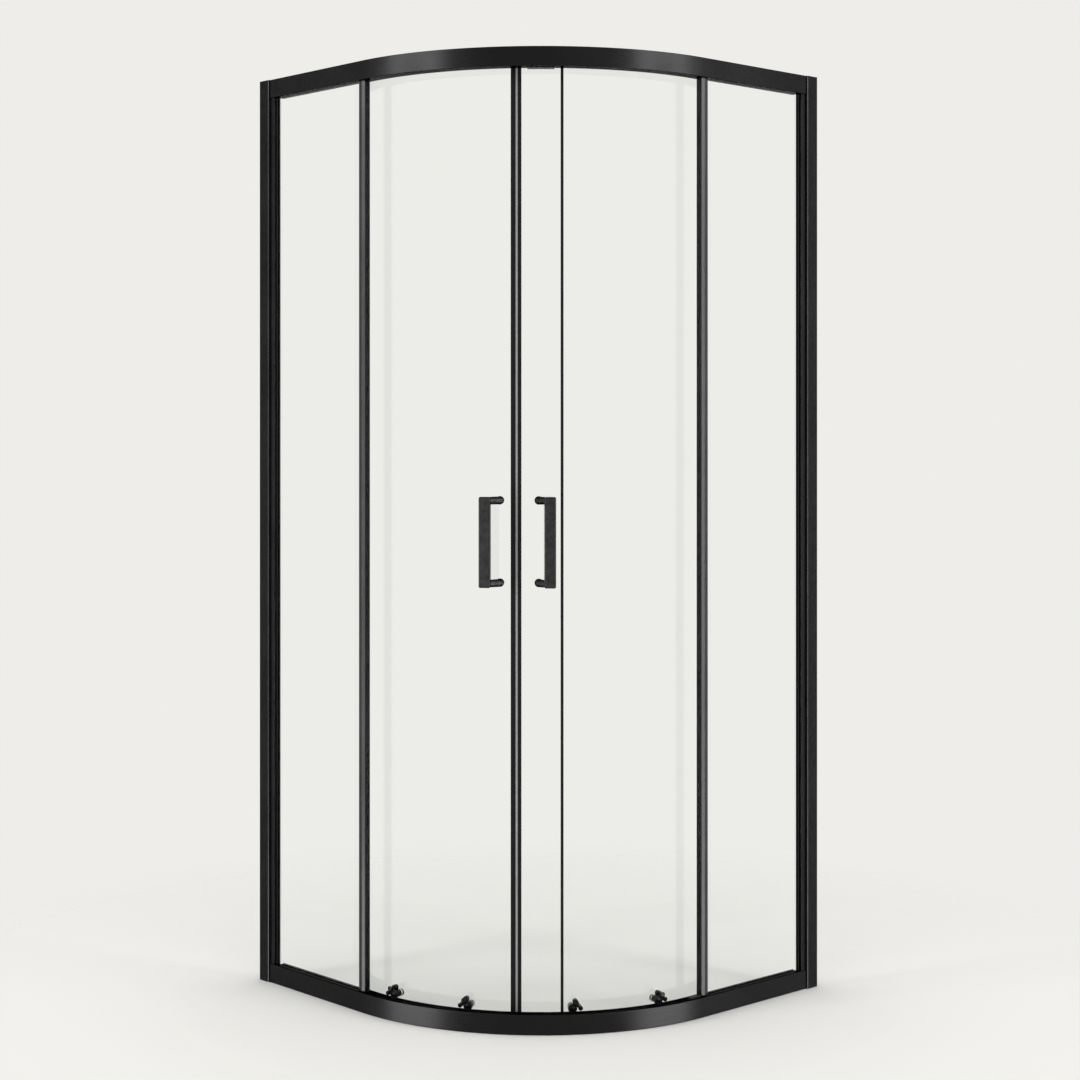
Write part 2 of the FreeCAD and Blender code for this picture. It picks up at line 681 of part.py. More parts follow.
def magnetStrip(side):
    """flexible magnet: inside the left seal, on the face of the right one"""
    name = side["name"] + "_magnet_strip"
    body = newBody(name)
    inner = "%s - clipGap" % backRadius
    outer = "%s + clipGap" % glassRadius
    if side["name"] == "left":
        loop = rectangle(inner + " + magnetGap", "clipGap / 2 + sealWall + magnetGap",
                         outer + " - magnetGap", "leadEdge - clipGap - sealWall - magnetGap")
    else:
        loop = rectangle(inner + " - clipWall + magnetInset", "clipGap / 2",
                         outer + " + clipWall - magnetInset", "magnetWide")
    pad(body, name + "Pad", "XY_Plane", "doorFoot", "tall - doorHead - doorFoot",
        [away(side, loop)])
    return keep(onArc(body, "seamAngle"), name)


def edgeSeal(side):
    """clear seal on the trailing edge, its fin turned towards the post"""
    name = side["name"] + "_edge_seal"
    body = newBody(name)
    inner = "%s - clipGap - clipWall" % backRadius
    outer = "%s + clipGap + clipWall" % glassRadius
    outline = [
        (inner, "0 - clipReach"), (backRadius + " - clipGap", "0 - clipReach"),
        (backRadius + " - clipGap", "clipGap"), (glassRadius + " + clipGap", "clipGap"),
        (glassRadius + " + clipGap", "0 - clipReach"), (outer, "0 - clipReach"),
        (outer, "clipGap + clipWall - finThick"),
        (glassRadius + " + finReach", "clipGap + clipWall - finThick"),
        (glassRadius + " + finReach", "clipGap + clipWall"), (inner, "clipGap + clipWall")]
    pad(body, name + "Pad", "XY_Plane", "bottomTall + finEnd",
        "tall - topTall - bottomTall - 2 * finEnd", [away(side, outline)])
    return keep(onArc(body, "seamAngle + %s * %s" % (side["far"], side["span"])), name)


def bottomSeal(side):
    """clear sweep under the glass"""
    name = side["name"] + "_bottom_seal"
    body = newBody(name)
    inner = "%s - clipGap - clipWall" % backRadius
    outer = "%s + clipGap + clipWall" % glassRadius
    base = "doorFoot - clipGap - clipWall"
    top = "doorFoot + sweepReach"
    middle = "(%s - doorGlass / 2)" % glassRadius
    outline = [
        (inner, base), (middle + " - finThick", base), (middle + " - finThick", "sweepFoot"),
        (middle, "sweepFoot"), (middle, base), (outer, base), (outer, top),
        (glassRadius + " + clipGap", top), (glassRadius + " + clipGap", "doorFoot - clipGap"),
        (backRadius + " - clipGap", "doorFoot - clipGap"), (backRadius + " - clipGap", top),
        (inner, top)]
    lead = arcSpan("sweepStart", glassRadius)
    turned(body, name + "Turn", [outline], side["span"] + " - " + lead)
    start = "seamAngle + " + lead if side["name"] == "right" else "seamAngle - leftSpan"
    return keep(onArc(body, "(%s)" % start), name)


def glassStrip():
    """slim upright strip on the outer face of the right pane"""
    body = newBody("RightStrip")
    x0 = glassRadius + " + clipGap / 2"
    loop = rectangle(x0, "0 - stripWide / 2", x0 + " + stripThick", "stripWide / 2")
    pad(body, "RightStripPad", "XY_Plane", "doorFoot + clipReach",
        "tall - doorHead - doorFoot - clipReach", [loop])
    return keep(onArc(body, "(seamAngle + stripAngle)"), "right_glass_strip")


plateBack = "(%s + carrierGap)" % glassRadius
plateFront = "(%s + carrierGap + carrierThick)" % glassRadius


def bottomCarrier(side, which, name):
    """trefoil body: wheel boss, release button boss above, adjusting screw boss outside"""
    height = bottomWheelTall
    aside = tangent(side, "buttonAside")
    outside = tangent(side, screwAside)
    button = "%s + %s" % (height, buttonOut)
    adjust = height + " + screwOut"
    lobe = "%s - %s" % (lobeFront, plateBack)
    pieces = [
        cylinder(name + "Hub", "hubRadius", "carrierThick", plateBack, "0", height),
        cylinder(name + "ButtonBoss", "lobeRadius", "carrierThick", plateBack, aside, button),
        cylinder(name + "ScrewBoss", "screwBoss", lobe, plateBack, outside, adjust),
        cylinder(name + "GlassBoss", "bossRadius", "carrierGap + doorGlass + bossReach",
                 backRadius + " - bossReach", "0", height)]
    web = newBody(name + "Web")
    loop = [("0", height + " - lobeRadius"), (outside, adjust + " - lobeRadius / 2"),
            (outside, adjust + " + lobeRadius / 2"), (aside, button), ("0", button)]
    pad(web, name + "WebPad", "YZ_Plane", plateBack, "carrierThick", [loop])
    body = fuse(name + "Body", pieces + [web])
    bores = [
        cylinder(name + "AxleBore", "axleRadius + runFit", "carrierThick",
                 plateFront + " - axleRoom", "0", height),
        cylinder(name + "ButtonBore", "buttonRadius + runFit", "carrierThick",
                 plateBack + " + skin", aside, button),
        cylinder(name + "ScrewBore", "axleRadius + runFit", lobe,
                 plateBack + " + skin", outside, adjust)]
    carrier = cut(name, body, group(name + "Bores", bores))
    return onArc(carrier, rollerAngle(side, which))


def topCarrier(side, which, name):
    """rounded plate that hangs the glass from its wheel"""
    height = topWheelTall
    pieces = [
        cylinder(name + "Hub", "hubRadius", "carrierThick", plateBack, "0", height),
        cylinder(name + "Shoulder", "lobeRadius", "carrierThick", plateBack,
                 tangent(side, "plateReach"), height),
        cylinder(name + "Toe", "lobeRadius", "carrierThick", plateBack,
                 tangent(side, "0 - plateToe"), height),
        block(name + "Bar", plateBack, "0 - plateToe" if side["name"] == "right"
              else "0 - plateReach", height + " - lobeRadius", "carrierThick",
              "plateToe + plateReach", "2 * lobeRadius"),
        cylinder(name + "GlassBoss", "bossRadius", "carrierGap + doorGlass + bossReach",
                 backRadius + " - bossReach", "0", height)]
    bore = cylinder(name + "AxleBore", "axleRadius + runFit", "carrierThick",
                    plateFront + " - axleRoom", "0", height)
    return onArc(cut(name, fuse(name + "Body", pieces), bore), rollerAngle(side, which))


def clampNut(side, which, height, name):
    """round nut on the cabin side that draws the carrier on to the glass"""
    shell = cylinder(name + "Shell", "nutRadius", "nutThick",
                     backRadius + " - nutThick - nutGap", "0", height)
    rim = doc.addObject("Part::Chamfer", name + "Rim")
    rim.Base = shell
    doc.recompute()
    lowest = min(range(len(shell.Shape.Edges)),
                 key=lambda i: shell.Shape.Edges[i].BoundBox.XMax)
    rim.Edges = [(lowest + 1, number("nutEase"), number("nutEase"))]
    thread = cylinder(name + "Thread", "bossRadius + runFit", "bossReach",
                      backRadius + " - bossReach - bossGap", "0", height)
    return onArc(cut(name, rim, thread), rollerAngle(side, which))


def axle(side, which, height, name):
    """headed pin pressed into the carrier, the wheel turning on it"""
    front = wheelRing + " + wheelWide / 2 + axleGap"
    shank = cylinder(name + "Shank", "axleRadius", "wheelWide + 2 * axleGap + axleDeep",
                     front + " - wheelWide - 2 * axleGap - axleDeep", "0", height)
    head = cylinder(name + "Head", "axleRadius + headTop", "pinHead", front, "0", height)
    return onArc(fuse(name, [shank, head]), rollerAngle(side, which))


def adjuster(side, which, name):
    """slotted screw in the outer boss of a bottom carrier"""
    height = bottomWheelTall + " + screwOut"
    rod = cylinder(name + "Rod", "axleRadius", "adjustLong",
                   lobeFront + " + adjustOut - adjustLong", tangent(side, screwAside), height)
    slot = block(name + "Slot", lobeFront + " + adjustOut - slotDeep",
                 tangent(side, screwAside) + " - slotWide / 2",
                 height + " - axleRadius - slotDeep", "2 * slotDeep", "slotWide",
                 "2 * axleRadius + 2 * slotDeep")
    return onArc(cut(name, rod, slot), rollerAngle(side, which))


def wheel(side, which, height, label):
    """dished wheel with a raised hub, turning about the radius"""
    body = newBody(label)
    sketch = newSketch(body, "XZ_Plane", label + "Sketch")
    low, high = "%s - wheelWide / 2" % wheelRing, "%s + wheelWide / 2" % wheelRing
    bore, hub, rim = "axleRadius + runFit", "axleRadius + hubRim", "wheelRadius"
    band = rim + " - tyreBand"
    profile = [
        (low, bore), (high, bore), (high, hub), (high + " - dishDeep", hub + " + dishEase"),
        (high + " - dishDeep", band + " - dishEase"), (high, band), (high, rim + " - tyreEase"),
        (high + " - tyreEase", rim), (low + " + tyreEase", rim), (low, rim + " - tyreEase"),
        (low, band), (low + " + dishDeep", band + " - dishEase"),
        (low + " + dishDeep", hub + " + dishEase"), (low, hub)]
    addLoop(sketch, profile)
    feature = body.newObject("PartDesign::Revolution", label + "Turn")
    feature.Profile = (sketch, [""])
    feature.ReferenceAxis = (sketch, ["H_Axis"])
    feature.Angle = 360
    onArc(body, rollerAngle(side, which))
    bind(body, "Placement.Base.z", height)
    return keep(body, label)


def releaseButton(side, which, label):
    """capped plunger in the top boss: pushed in, it lifts the wheel off the rail"""
    name = label + "Plunger"
    height = "%s + %s" % (bottomWheelTall, buttonOut)
    aside = tangent(side, "buttonAside")
    back = "%s + wheelWide / 2 + capGap + buttonTravel" % wheelRing
    start = plateFront + " - buttonDeep"
    stem = cylinder(name + "Stem", "buttonRadius", "%s - (%s) + capDeep / 2" % (back, start),
                    start, aside, height)
    cap = cylinder(name + "Cap", "buttonCap", "capDeep", back, aside, height)
    whole = fuse(name + "Whole", [stem, cap])
    rim = doc.addObject("Part::Fillet", name + "Rim")
    rim.Base = whole
    doc.recompute()
    outermost = max(range(len(whole.Shape.Edges)),
                    key=lambda i: whole.Shape.Edges[i].BoundBox.XMin)
    rim.Edges = [(outermost + 1, number("buttonEase"), number("buttonEase"))]
    return keep(onArc(group(label, [rim]), rollerAngle(side, which)), label)


def buttonSpring(side, which, name):
    """sleeve-shaped rubber spring behind the plunger"""
    start = plateBack + " + skin + clipGap"
    end = plateFront + " - buttonDeep - buttonTravel - slideGap"
    length = "%s - (%s)" % (end, start)
    height = "%s + %s" % (bottomWheelTall, buttonOut)
    aside = tangent(side, "buttonAside")
    shell = cylinder(name + "Shell", "buttonRadius - slideGap", length, start, aside, height)
    room = cylinder(name + "Room", "buttonRadius - slideGap - springWall", length, start, aside,
                    height)
    return onArc(cut(name, shell, room), rollerAngle(side, which))


def handle(side):
    """flat bar on two slanted legs with round feet"""
    name = side["name"] + "_handle"
    body = newBody(name)
    foot = "%s + clipGap + washerThick + clipGap" % glassRadius
    barIn = "%s + standOff" % glassRadius
    barOut = barIn + " + barThick"
    low = "handleMid - handleTall / 2"
    bar = rectangle(barIn, "barAside - barWide / 2", barOut, "barAside + barWide / 2")
    plain = pad(body, name + "Bar", "XY_Plane", low, "handleTall", [away(side, bar)])
    doc.recompute()
    ends = [i + 1 for i, e in enumerate(plain.Shape.Edges)
            if e.BoundBox.XLength > number("barThick / 2")]
    corners = body.newObject("PartDesign::Fillet", name + "Corners")
    corners.Base = (plain, ["Edge%d" % i for i in ends])
    bind(corners, "Radius", "barCorner")
    doc.recompute()
    outer = [i + 1 for i, e in enumerate(corners.Shape.Edges)
             if e.BoundBox.XMin > number(barOut + " - barRim")]
    rim = body.newObject("PartDesign::Fillet", name + "Rim")
    rim.Base = (corners, ["Edge%d" % i for i in outer])
    bind(rim, "Radius", "barRim")
    doc.recompute()
    root = foot + " + footThick - 2 * legDip"
    leg = [(root, "footEase - footRadius"), (root, "footRadius - footEase"),
           (barIn + " + legDip", "barAside + barWide / 2 - barCorner"),
           (barIn + " + legDip", "barAside - barWide / 2 + barCorner")]
    for i, level in enumerate(handleLevels()):
        pad(body, "%sLeg%d" % (name, i), "XY_Plane", level + " - legTall / 2 + legEase",
            "legTall - 2 * legEase", [away(side, leg)])
        pad(body, "%sFoot%d" % (name, i), "YZ_Plane", foot, "footThick",
            circles=[("0", level, "footRadius")])
    return keep(onArc(body, rollerAngle(side, "handleAngle")), name)


def handleFittings(side):
    """washers between feet and glass, and the capped screws on the cabin side"""
    washers, screws = [], []
    start = glassRadius + " + clipGap"
    for i, level in enumerate(handleLevels()):
        name = "%sHandleFit%d" % (side["name"], i)
        disc = cylinder(name + "Disc", "footRadius + washerLip", "washerThick", start, "0",
                        level)
        room = cylinder(name + "Room", "footRadius / 2", "washerThick", start, "0", level)
        washers.append(cut(name + "Washer", disc, room))
        shank = cylinder(name + "Shank", "footRadius / 2 - clipGap",
                         "doorGlass + washerThick + 2 * clipGap", backRadius + " - bossGap",
                         "0", level)
        head = cylinder(name + "Head", "footRadius", "screwHead",
                        backRadius + " - bossGap - screwHead", "0", level)
        rim = doc.addObject("Part::Fillet", name + "Rim")
        rim.Base = head
        doc.recompute()
        inmost = min(range(len(head.Shape.Edges)),
                     key=lambda k: head.Shape.Edges[k].BoundBox.XMax)
        rim.Edges = [(inmost + 1, number("footEase"), number("footEase"))]
        screws.append(fuse(name + "Screw", [shank, rim]))
    angle = rollerAngle(side, "handleAngle")
    label = side["name"] + "_handle_"
    keep(onArc(group(label + "washerSet", washers), angle), label + "washers")
    keep(onArc(group(label + "screwSet", screws), angle), label + "screws")


def rollers(side):
    first = side["name"]
    low, high, nuts, pins, springs = [], [], [], [], []
    for which, word in zip(side["rollers"], ("inner", "outer")):
        tag = first + word.capitalize()
        low.append(bottomCarrier(side, which, tag + "BottomCarrier"))
        high.append(topCarrier(side, which, tag + "TopCarrier"))
        for level, height in (("bottom", bottomWheelTall), ("top", topWheelTall)):
            nuts.append(clampNut(side, which, height, tag + level + "Nut"))
            pins.append(axle(side, which, height, tag + level + "Axle"))
            wheel(side, which, height, "%s_%s_wheel_%s" % (first, level, word))
        pins.append(adjuster(side, which, tag + "Adjuster"))
        springs.append(buttonSpring(side, which, tag + "Spring"))
        releaseButton(side, which, "%s_release_button_%s" % (first, word))
    keep(group(first + "BottomCarriers", low), first + "_bottom_carriers")
    keep(group(first + "TopCarriers", high), first + "_top_carriers")
    keep(group(first + "ClampNuts", nuts), first + "_clamp_nuts")
    keep(group(first + "RollerPins", pins), first + "_roller_pins")
    keep(group(first + "ButtonSprings", springs), first + "_button_springs")


bottomRail()
topRail()
for panel in SIDES:
    wallProfile(panel)
    jamb(panel)
    fixedGlass(panel)
    post(panel)
    glazingGasket(panel)
beds = []
for panel in SIDES:
    for place in ("Bottom", "Top"):
        beds.append(railGasket(panel, panel["name"] + place + "Bed", place == "Bottom"))
keep(group("RailGaskets", beds), "rail_gaskets")
railScrews()
jambScrews()
profileCaps()
stops()
for door in SIDES:
    doorGlass(door)
    doorSeal(door)
    magnetStrip(door)
    edgeSeal(door)
    bottomSeal(door)
    handle(door)
    handleFittings(door)
    rollers(door)
glassStrip()
doc.recompute()

problems = []
for thing in doc.Objects:
    if "Invalid" in thing.State or "Error" in thing.State:
        problems.append("%s is %s" % (thing.Name, thing.State))
for thing in subParts:
    shape = thing.Shape
    if shape.isNull() or not shape.isValid() or not shape.Solids:
        problems.append("%s has no valid solid" % thing.Label)
if problems:
    raise RuntimeError("; ".join(problems))

os.makedirs("parts", exist_ok=True)
for thing in subParts:
    thing.Shape.exportStep("parts/%s.step" % thing.Label)
    print(thing.Label, len(thing.Shape.Solids), round(thing.Shape.Volume / 1000, 2), "cm3")
print(len(subParts), "sub-parts")
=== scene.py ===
import math
import bmesh
import bpy
from mathutils import Matrix, Vector


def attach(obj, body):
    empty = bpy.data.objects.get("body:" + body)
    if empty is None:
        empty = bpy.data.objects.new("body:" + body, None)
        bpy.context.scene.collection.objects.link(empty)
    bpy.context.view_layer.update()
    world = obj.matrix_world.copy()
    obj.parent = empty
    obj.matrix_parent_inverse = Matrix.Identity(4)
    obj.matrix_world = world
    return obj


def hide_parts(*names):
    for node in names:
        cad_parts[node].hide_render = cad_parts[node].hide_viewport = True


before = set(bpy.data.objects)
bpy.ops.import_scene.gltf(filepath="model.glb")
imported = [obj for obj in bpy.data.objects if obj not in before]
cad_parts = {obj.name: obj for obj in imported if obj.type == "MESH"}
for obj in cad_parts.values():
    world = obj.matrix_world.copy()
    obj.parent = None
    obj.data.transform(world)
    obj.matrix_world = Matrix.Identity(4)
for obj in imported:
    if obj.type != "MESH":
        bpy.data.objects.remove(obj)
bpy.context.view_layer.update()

# Quadrant shower enclosure: black coated rails and profiles, clear bent glass, trefoil rollers.
# Plan places are in millimetres, as on a drawing; everything built is in metres.

mm = 0.001
slack = 0.1  # an edge within this many millimetres is the one meant
weld = 0.00002  # corners within this distance become one
plan = {"half": 404, "face": 401, "bend": 69, "arc": 470, "seam": -3.86, "pair": -2.9}


# Places on the plan

def panelPoint(reach, depth, z):  # left panel: reach from its wall, depth from the rails' face
    return Vector((reach - plan["half"], depth - plan["face"], z)) * mm


def arcPoint(angle, radius, aside, z):  # angle from the middle of the quarter round
    turn = math.radians(angle - 45)
    x = radius * math.cos(turn) - aside * math.sin(turn) - plan["bend"]
    y = radius * math.sin(turn) + aside * math.cos(turn) + plan["bend"]
    return Vector((x, y, z)) * mm


def arcMatrix(angle, z, flip):  # takes a piece made about the arc's centre to its place
    move = Matrix.Translation((-plan["bend"] * mm, plan["bend"] * mm, z * mm))
    spinBy = Matrix.Rotation(math.radians(angle - 45), 4, "Z")
    return move @ spinBy @ Matrix.Diagonal((1, -1 if flip else 1, 1, 1))


mirrorAcross = Matrix(((0, -1, 0, 0), (-1, 0, 0, 0), (0, 0, 1, 0), (0, 0, 0, 1)))


# Modelling steps

def clearSelection():  # leaves edit mode too
    if bpy.context.object and bpy.context.object.mode == "EDIT":
        bpy.ops.object.mode_set(mode="OBJECT")
    bpy.ops.object.select_all(action="DESELECT")


def useOnly(piece):
    clearSelection()
    piece.select_set(True)
    bpy.context.view_layer.objects.active = piece


def traceLine(name, points):  # a chain of edges drawn corner by corner
    clearSelection()
    bpy.ops.mesh.primitive_plane_add(size=mm, location=points[0])
    piece = bpy.context.object
    piece.name = name
    bpy.ops.object.mode_set(mode="EDIT")
    bpy.ops.mesh.merge(type="CENTER")
    for start, end in zip(points, points[1:]):
        step = Vector(end) - Vector(start)
        bpy.ops.mesh.extrude_region_move(TRANSFORM_OT_translate={"value": step})
    return piece


def traceFace(name, points):
    piece = traceLine(name, points)
    bpy.ops.mesh.select_all(action="SELECT")
    bpy.ops.mesh.edge_face_add()
    return piece


def extrudeBy(x, y, z):
    bpy.ops.mesh.extrude_region_move(TRANSFORM_OT_translate={"value": Vector((x, y, z)) * mm})


def tidyMesh():
    bpy.ops.mesh.select_all(action="SELECT")
    bpy.ops.mesh.remove_doubles(threshold=weld)
    bpy.ops.mesh.normals_make_consistent(inside=False)


def prism(name, points, move):  # a traced face drawn out along a straight line
    piece = traceFace(name, points)
    extrudeBy(*move)
    tidyMesh()
    return piece


def near(value, target):
    return abs(value - target) < slack


def pickFaces(piece, test):
    bpy.ops.mesh.select_mode(type="FACE")
    bpy.ops.mesh.select_all(action="DESELECT")
    mesh = bmesh.from_edit_mesh(piece.data)
    for face in mesh.faces:
        face.select = test(face)
    bmesh.update_edit_mesh(piece.data)


def roundEdges(test, offset, segments=4):  # edges whose middle and direction pass the test
    mesh = bmesh.from_edit_mesh(bpy.context.object.data)
    bpy.ops.mesh.select_all(action="DESELECT")
    matrix = bpy.context.object.matrix_world
    for edge in mesh.edges:
        a, b = (matrix @ v.co / mm for v in edge.verts)
        edge.select = test((a + b) / 2, (b - a).normalized())
    bmesh.update_edit_mesh(bpy.context.object.data)
    bpy.ops.mesh.select_mode(type="EDGE")
    bpy.ops.mesh.bevel(offset=offset * mm, segments=segments, affect="EDGES", clamp_overlap=True)
    bpy.ops.mesh.select_mode(type="VERT")


def applyModifier(piece, kind, **settings):
    useOnly(piece)
    modifier = piece.modifiers.new("step", kind)
    for key, value in settings.items():
        setattr(modifier, key, value)
    bpy.ops.object.modifier_apply(modifier=modifier.name)


def easeEdges(piece, width, segments=2, limit=30):
    applyModifier(piece, "BEVEL", width=width * mm, segments=segments, limit_method="ANGLE",
                  angle_limit=math.radians(limit), use_clamp_overlap=True)


def combine(piece, other, operation):  # union or difference, the other piece is used up
    applyModifier(piece, "BOOLEAN", object=other, operation=operation, solver="EXACT")
    bpy.data.objects.remove(other)


def settle(piece, smooth=35):
    useOnly(piece)
    bpy.ops.object.transform_apply(location=True, rotation=True, scale=True)
    bpy.ops.object.mode_set(mode="EDIT")
    bpy.ops.mesh.select_all(action="SELECT")
    bpy.ops.mesh.normals_make_consistent(inside=False)
    bpy.ops.object.mode_set(mode="OBJECT")
    bpy.ops.object.shade_smooth_by_angle(angle=math.radians(smooth))
    return piece


def turnProfile(name, profile, steps=40):  # points: radius on the plan, distance from the axle
    piece = traceLine(name, [Vector((r, 0, rho)) * mm for r, rho in profile])
    closed = profile[0][1] > 0
    bpy.ops.mesh.select_all(action="SELECT")
    if closed:
        mesh = bmesh.from_edit_mesh(piece.data)
        bpy.ops.mesh.select_all(action="DESELECT")
        mesh.verts.ensure_lookup_table()
        for v in (mesh.verts[0], mesh.verts[-1]):
            v.select = True
        bmesh.update_edit_mesh(piece.data)
        bpy.ops.mesh.edge_face_add()
        bpy.ops.mesh.select_all(action="SELECT")
    bpy.ops.mesh.spin(steps=steps, angle=2 * math.pi, center=(0, 0, 0), axis=(1, 0, 0))
    tidyMesh()
    bpy.ops.object.mode_set(mode="OBJECT")
    return piece


def copyTo(piece, name, matrix):
    clone = piece.copy()
    clone.data = piece.data.copy()
    clone.name = name
    bpy.context.scene.collection.objects.link(clone)
    clone.matrix_world = matrix @ piece.matrix_world
    return settle(clone)


def joinAs(name, pieces):
    useOnly(pieces[0])
    for other in pieces[1:]:
        other.select_set(True)
    bpy.ops.object.join()
    pieces[0].name = name
    return pieces[0]


def fit(piece, node, material, body="frame"):  # stands for the node and moves with its body
    piece.data.materials.clear()
    piece.data.materials.append(material)
    applyModifier(piece, "WEIGHTED_NORMAL", keep_sharp=True)
    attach(piece, body)
    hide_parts(node)
    return piece


def easeAndFit(piece, width, segments, node, material, body="frame"):
    easeEdges(piece, width, segments, 50)
    fit(settle(piece, 40), node, material, body)


# Shared finishes

def newGroup(name, inputs, outputs):
    tree = bpy.data.node_groups.new(name, "ShaderNodeTree")
    for label, kind, value in inputs:
        socket = tree.interface.new_socket(label, in_out="INPUT", socket_type=kind)
        if value is not None:
            socket.default_value = value
    for label, kind in outputs:
        tree.interface.new_socket(label, in_out="OUTPUT", socket_type=kind)
    return tree, tree.nodes.new("NodeGroupInput"), tree.nodes.new("NodeGroupOutput")


def addNode(tree, kind, links=(), **settings):
    node = tree.nodes.new(kind)
    for key, value in settings.items():
        setattr(node, key, value)
    for label, value in links:
        if hasattr(value, "links"):
            tree.links.new(value, node.inputs[label])
        else:
            node.inputs[label].default_value = value
    return node


def calculate(tree, operation, first, second, clamp=False):
    return addNode(tree, "ShaderNodeMath", [(0, first), (1, second)], operation=operation,
                   use_clamp=clamp).outputs[0]


def noise(tree, vector, scale, detail, distortion=0.0):
    values = [("Vector", vector), ("Scale", scale), ("Detail", detail), ("Distortion", distortion)]
    return addNode(tree, "ShaderNodeTexNoise", values).outputs["Fac"]


def mixInto(tree, output, factor, first, second):  # two shaders mixed by the factor, then shown
    mix = tree.nodes.new("ShaderNodeMixShader")
    for index, value in enumerate((factor, first.outputs[0], second.outputs[0])):
        tree.links.new(value, mix.inputs[index])
    tree.links.new(mix.outputs[0], tree.nodes[output].inputs["Surface"])


def spread(tree, value, low, high, outLow, outHigh):
    values = [("Value", value), ("From Min", low), ("From Max", high), ("To Min", outLow),
              ("To Max", outHigh)]
    return addNode(tree, "ShaderNodeMapRange", values).outputs["Result"]


def buildDrawnFilm():  # satin film over extruded metal: long die lines, a fine grain, cloudy sheen
    tree, start, end = newGroup(
        "drawnFilm",
        [("Vector", "NodeSocketVector", None), ("Lines", "NodeSocketVector", (1, 1, 1)),
         ("Low", "NodeSocketFloat", 0.3), ("High", "NodeSocketFloat", 0.4)],
        [("Roughness", "NodeSocketFloat"), ("Height", "NodeSocketFloat"),
         ("Tone", "NodeSocketFloat")])
    pair = [(0, start.outputs["Vector"]), (1, start.outputs["Lines"])]
    stretch = addNode(tree, "ShaderNodeVectorMath", pair, operation="MULTIPLY").outputs[0]
    lines = noise(tree, stretch, 1.0, 3.0)
    grain = noise(tree, start.outputs["Vector"], 2600.0, 2.0)
    cloud = noise(tree, start.outputs["Vector"], 7.0, 4.0)
    mixed = calculate(tree, "ADD", lines, cloud)
    rough = spread(tree, mixed, 0.7, 1.3, start.outputs["Low"], start.outputs["High"])
    tree.links.new(rough, end.inputs["Roughness"])
    tree.links.new(calculate(tree, "ADD", lines, grain), end.inputs["Height"])
    tree.links.new(spread(tree, cloud, 0.3, 0.7, 0.0, 1.0), end.inputs["Tone"])
    return tree


def buildEdgeRub():  # corners that hands and cloths have polished a little
    tree, start, end = newGroup(
        "edgeRub", [("Vector", "NodeSocketVector", None), ("Amount", "NodeSocketFloat", 0.5)],
        [("Mask", "NodeSocketFloat")])
    point = addNode(tree, "ShaderNodeNewGeometry").outputs["Pointiness"]
    edge = spread(tree, point, 0.515, 0.57, 0.0, 1.0)
    patches = noise(tree, start.outputs["Vector"], 90.0, 5.0)
    patches = spread(tree, patches, 0.35, 0.65, 0.25, 1.0)
    mask = calculate(tree, "MULTIPLY", edge, patches)
    mask = calculate(tree, "MULTIPLY", mask, start.outputs["Amount"], True)
    tree.links.new(mask, end.inputs["Mask"])
    return tree


def buildWaterMarks():  # faint dried drops and wiping on glass and glossy parts
    tree, start, end = newGroup(
        "waterMarks", [("Vector", "NodeSocketVector", None), ("Scale", "NodeSocketFloat", 60.0)],
        [("Mask", "NodeSocketFloat"), ("Height", "NodeSocketFloat")])
    values = [("Vector", start.outputs["Vector"]), ("Scale", start.outputs["Scale"])]
    drops = addNode(tree, "ShaderNodeTexVoronoi", values)
    rim = spread(tree, drops.outputs["Distance"], 0.05, 0.12, 1.0, 0.0)
    where = spread(tree, noise(tree, start.outputs["Vector"], 3.0, 3.0), 0.55, 0.75, 0.0, 1.0)
    tree.links.new(calculate(tree, "MULTIPLY", rim, where), end.inputs["Mask"])
    tree.links.new(noise(tree, start.outputs["Vector"], 4.0, 1.0), end.inputs["Height"])
    return tree


def buildMouldSkin():  # spark-eroded mould texture of plastic and rubber
    tree, start, end = newGroup(
        "mouldSkin", [("Vector", "NodeSocketVector", None), ("Scale", "NodeSocketFloat", 1500.0),
                      ("Low", "NodeSocketFloat", 0.3), ("High", "NodeSocketFloat", 0.5)],
        [("Roughness", "NodeSocketFloat"), ("Height", "NodeSocketFloat"),
         ("Tone", "NodeSocketFloat")])
    values = [("Vector", start.outputs["Vector"]), ("Scale", start.outputs["Scale"])]
    cells = addNode(tree, "ShaderNodeTexVoronoi", values)
    flow = noise(tree, start.outputs["Vector"], 160.0, 4.0, 0.6)
    rough = spread(tree, flow, 0.3, 0.7, start.outputs["Low"], start.outputs["High"])
    tree.links.new(rough, end.inputs["Roughness"])
    tree.links.new(cells.outputs["Distance"], end.inputs["Height"])
    tree.links.new(spread(tree, flow, 0.3, 0.7, 0.0, 1.0), end.inputs["Tone"])
    return tree


drawnFilm, edgeRub = buildDrawnFilm(), buildEdgeRub()
waterMarks, mouldSkin = buildWaterMarks(), buildMouldSkin()


def placeGroup(tree, group, vector, **values):
    node = tree.nodes.new("ShaderNodeGroup")
    node.node_tree = group
    tree.links.new(vector, node.inputs["Vector"])
    for label, value in values.items():
        node.inputs[label].default_value = value
    return node


def newMaterial(name):
    material = bpy.data.materials.new(name)
    material.use_nodes = True
    tree = material.node_tree
    shader = tree.nodes["Principled BSDF"]
    coordinates = tree.nodes.new("ShaderNodeTexCoord").outputs["Object"]
    return material, tree, shader, coordinates


def blendColour(tree, mask, first, second):
    mix = addNode(tree, "ShaderNodeMix", data_type="RGBA")
    for index, value in ((6, first), (7, second)):
        if hasattr(value, "links"):
            tree.links.new(value, mix.inputs[index])
        else:
            mix.inputs[index].default_value = (*value, 1)
    tree.links.new(mask, mix.inputs[0])
    return mix.outputs[2]


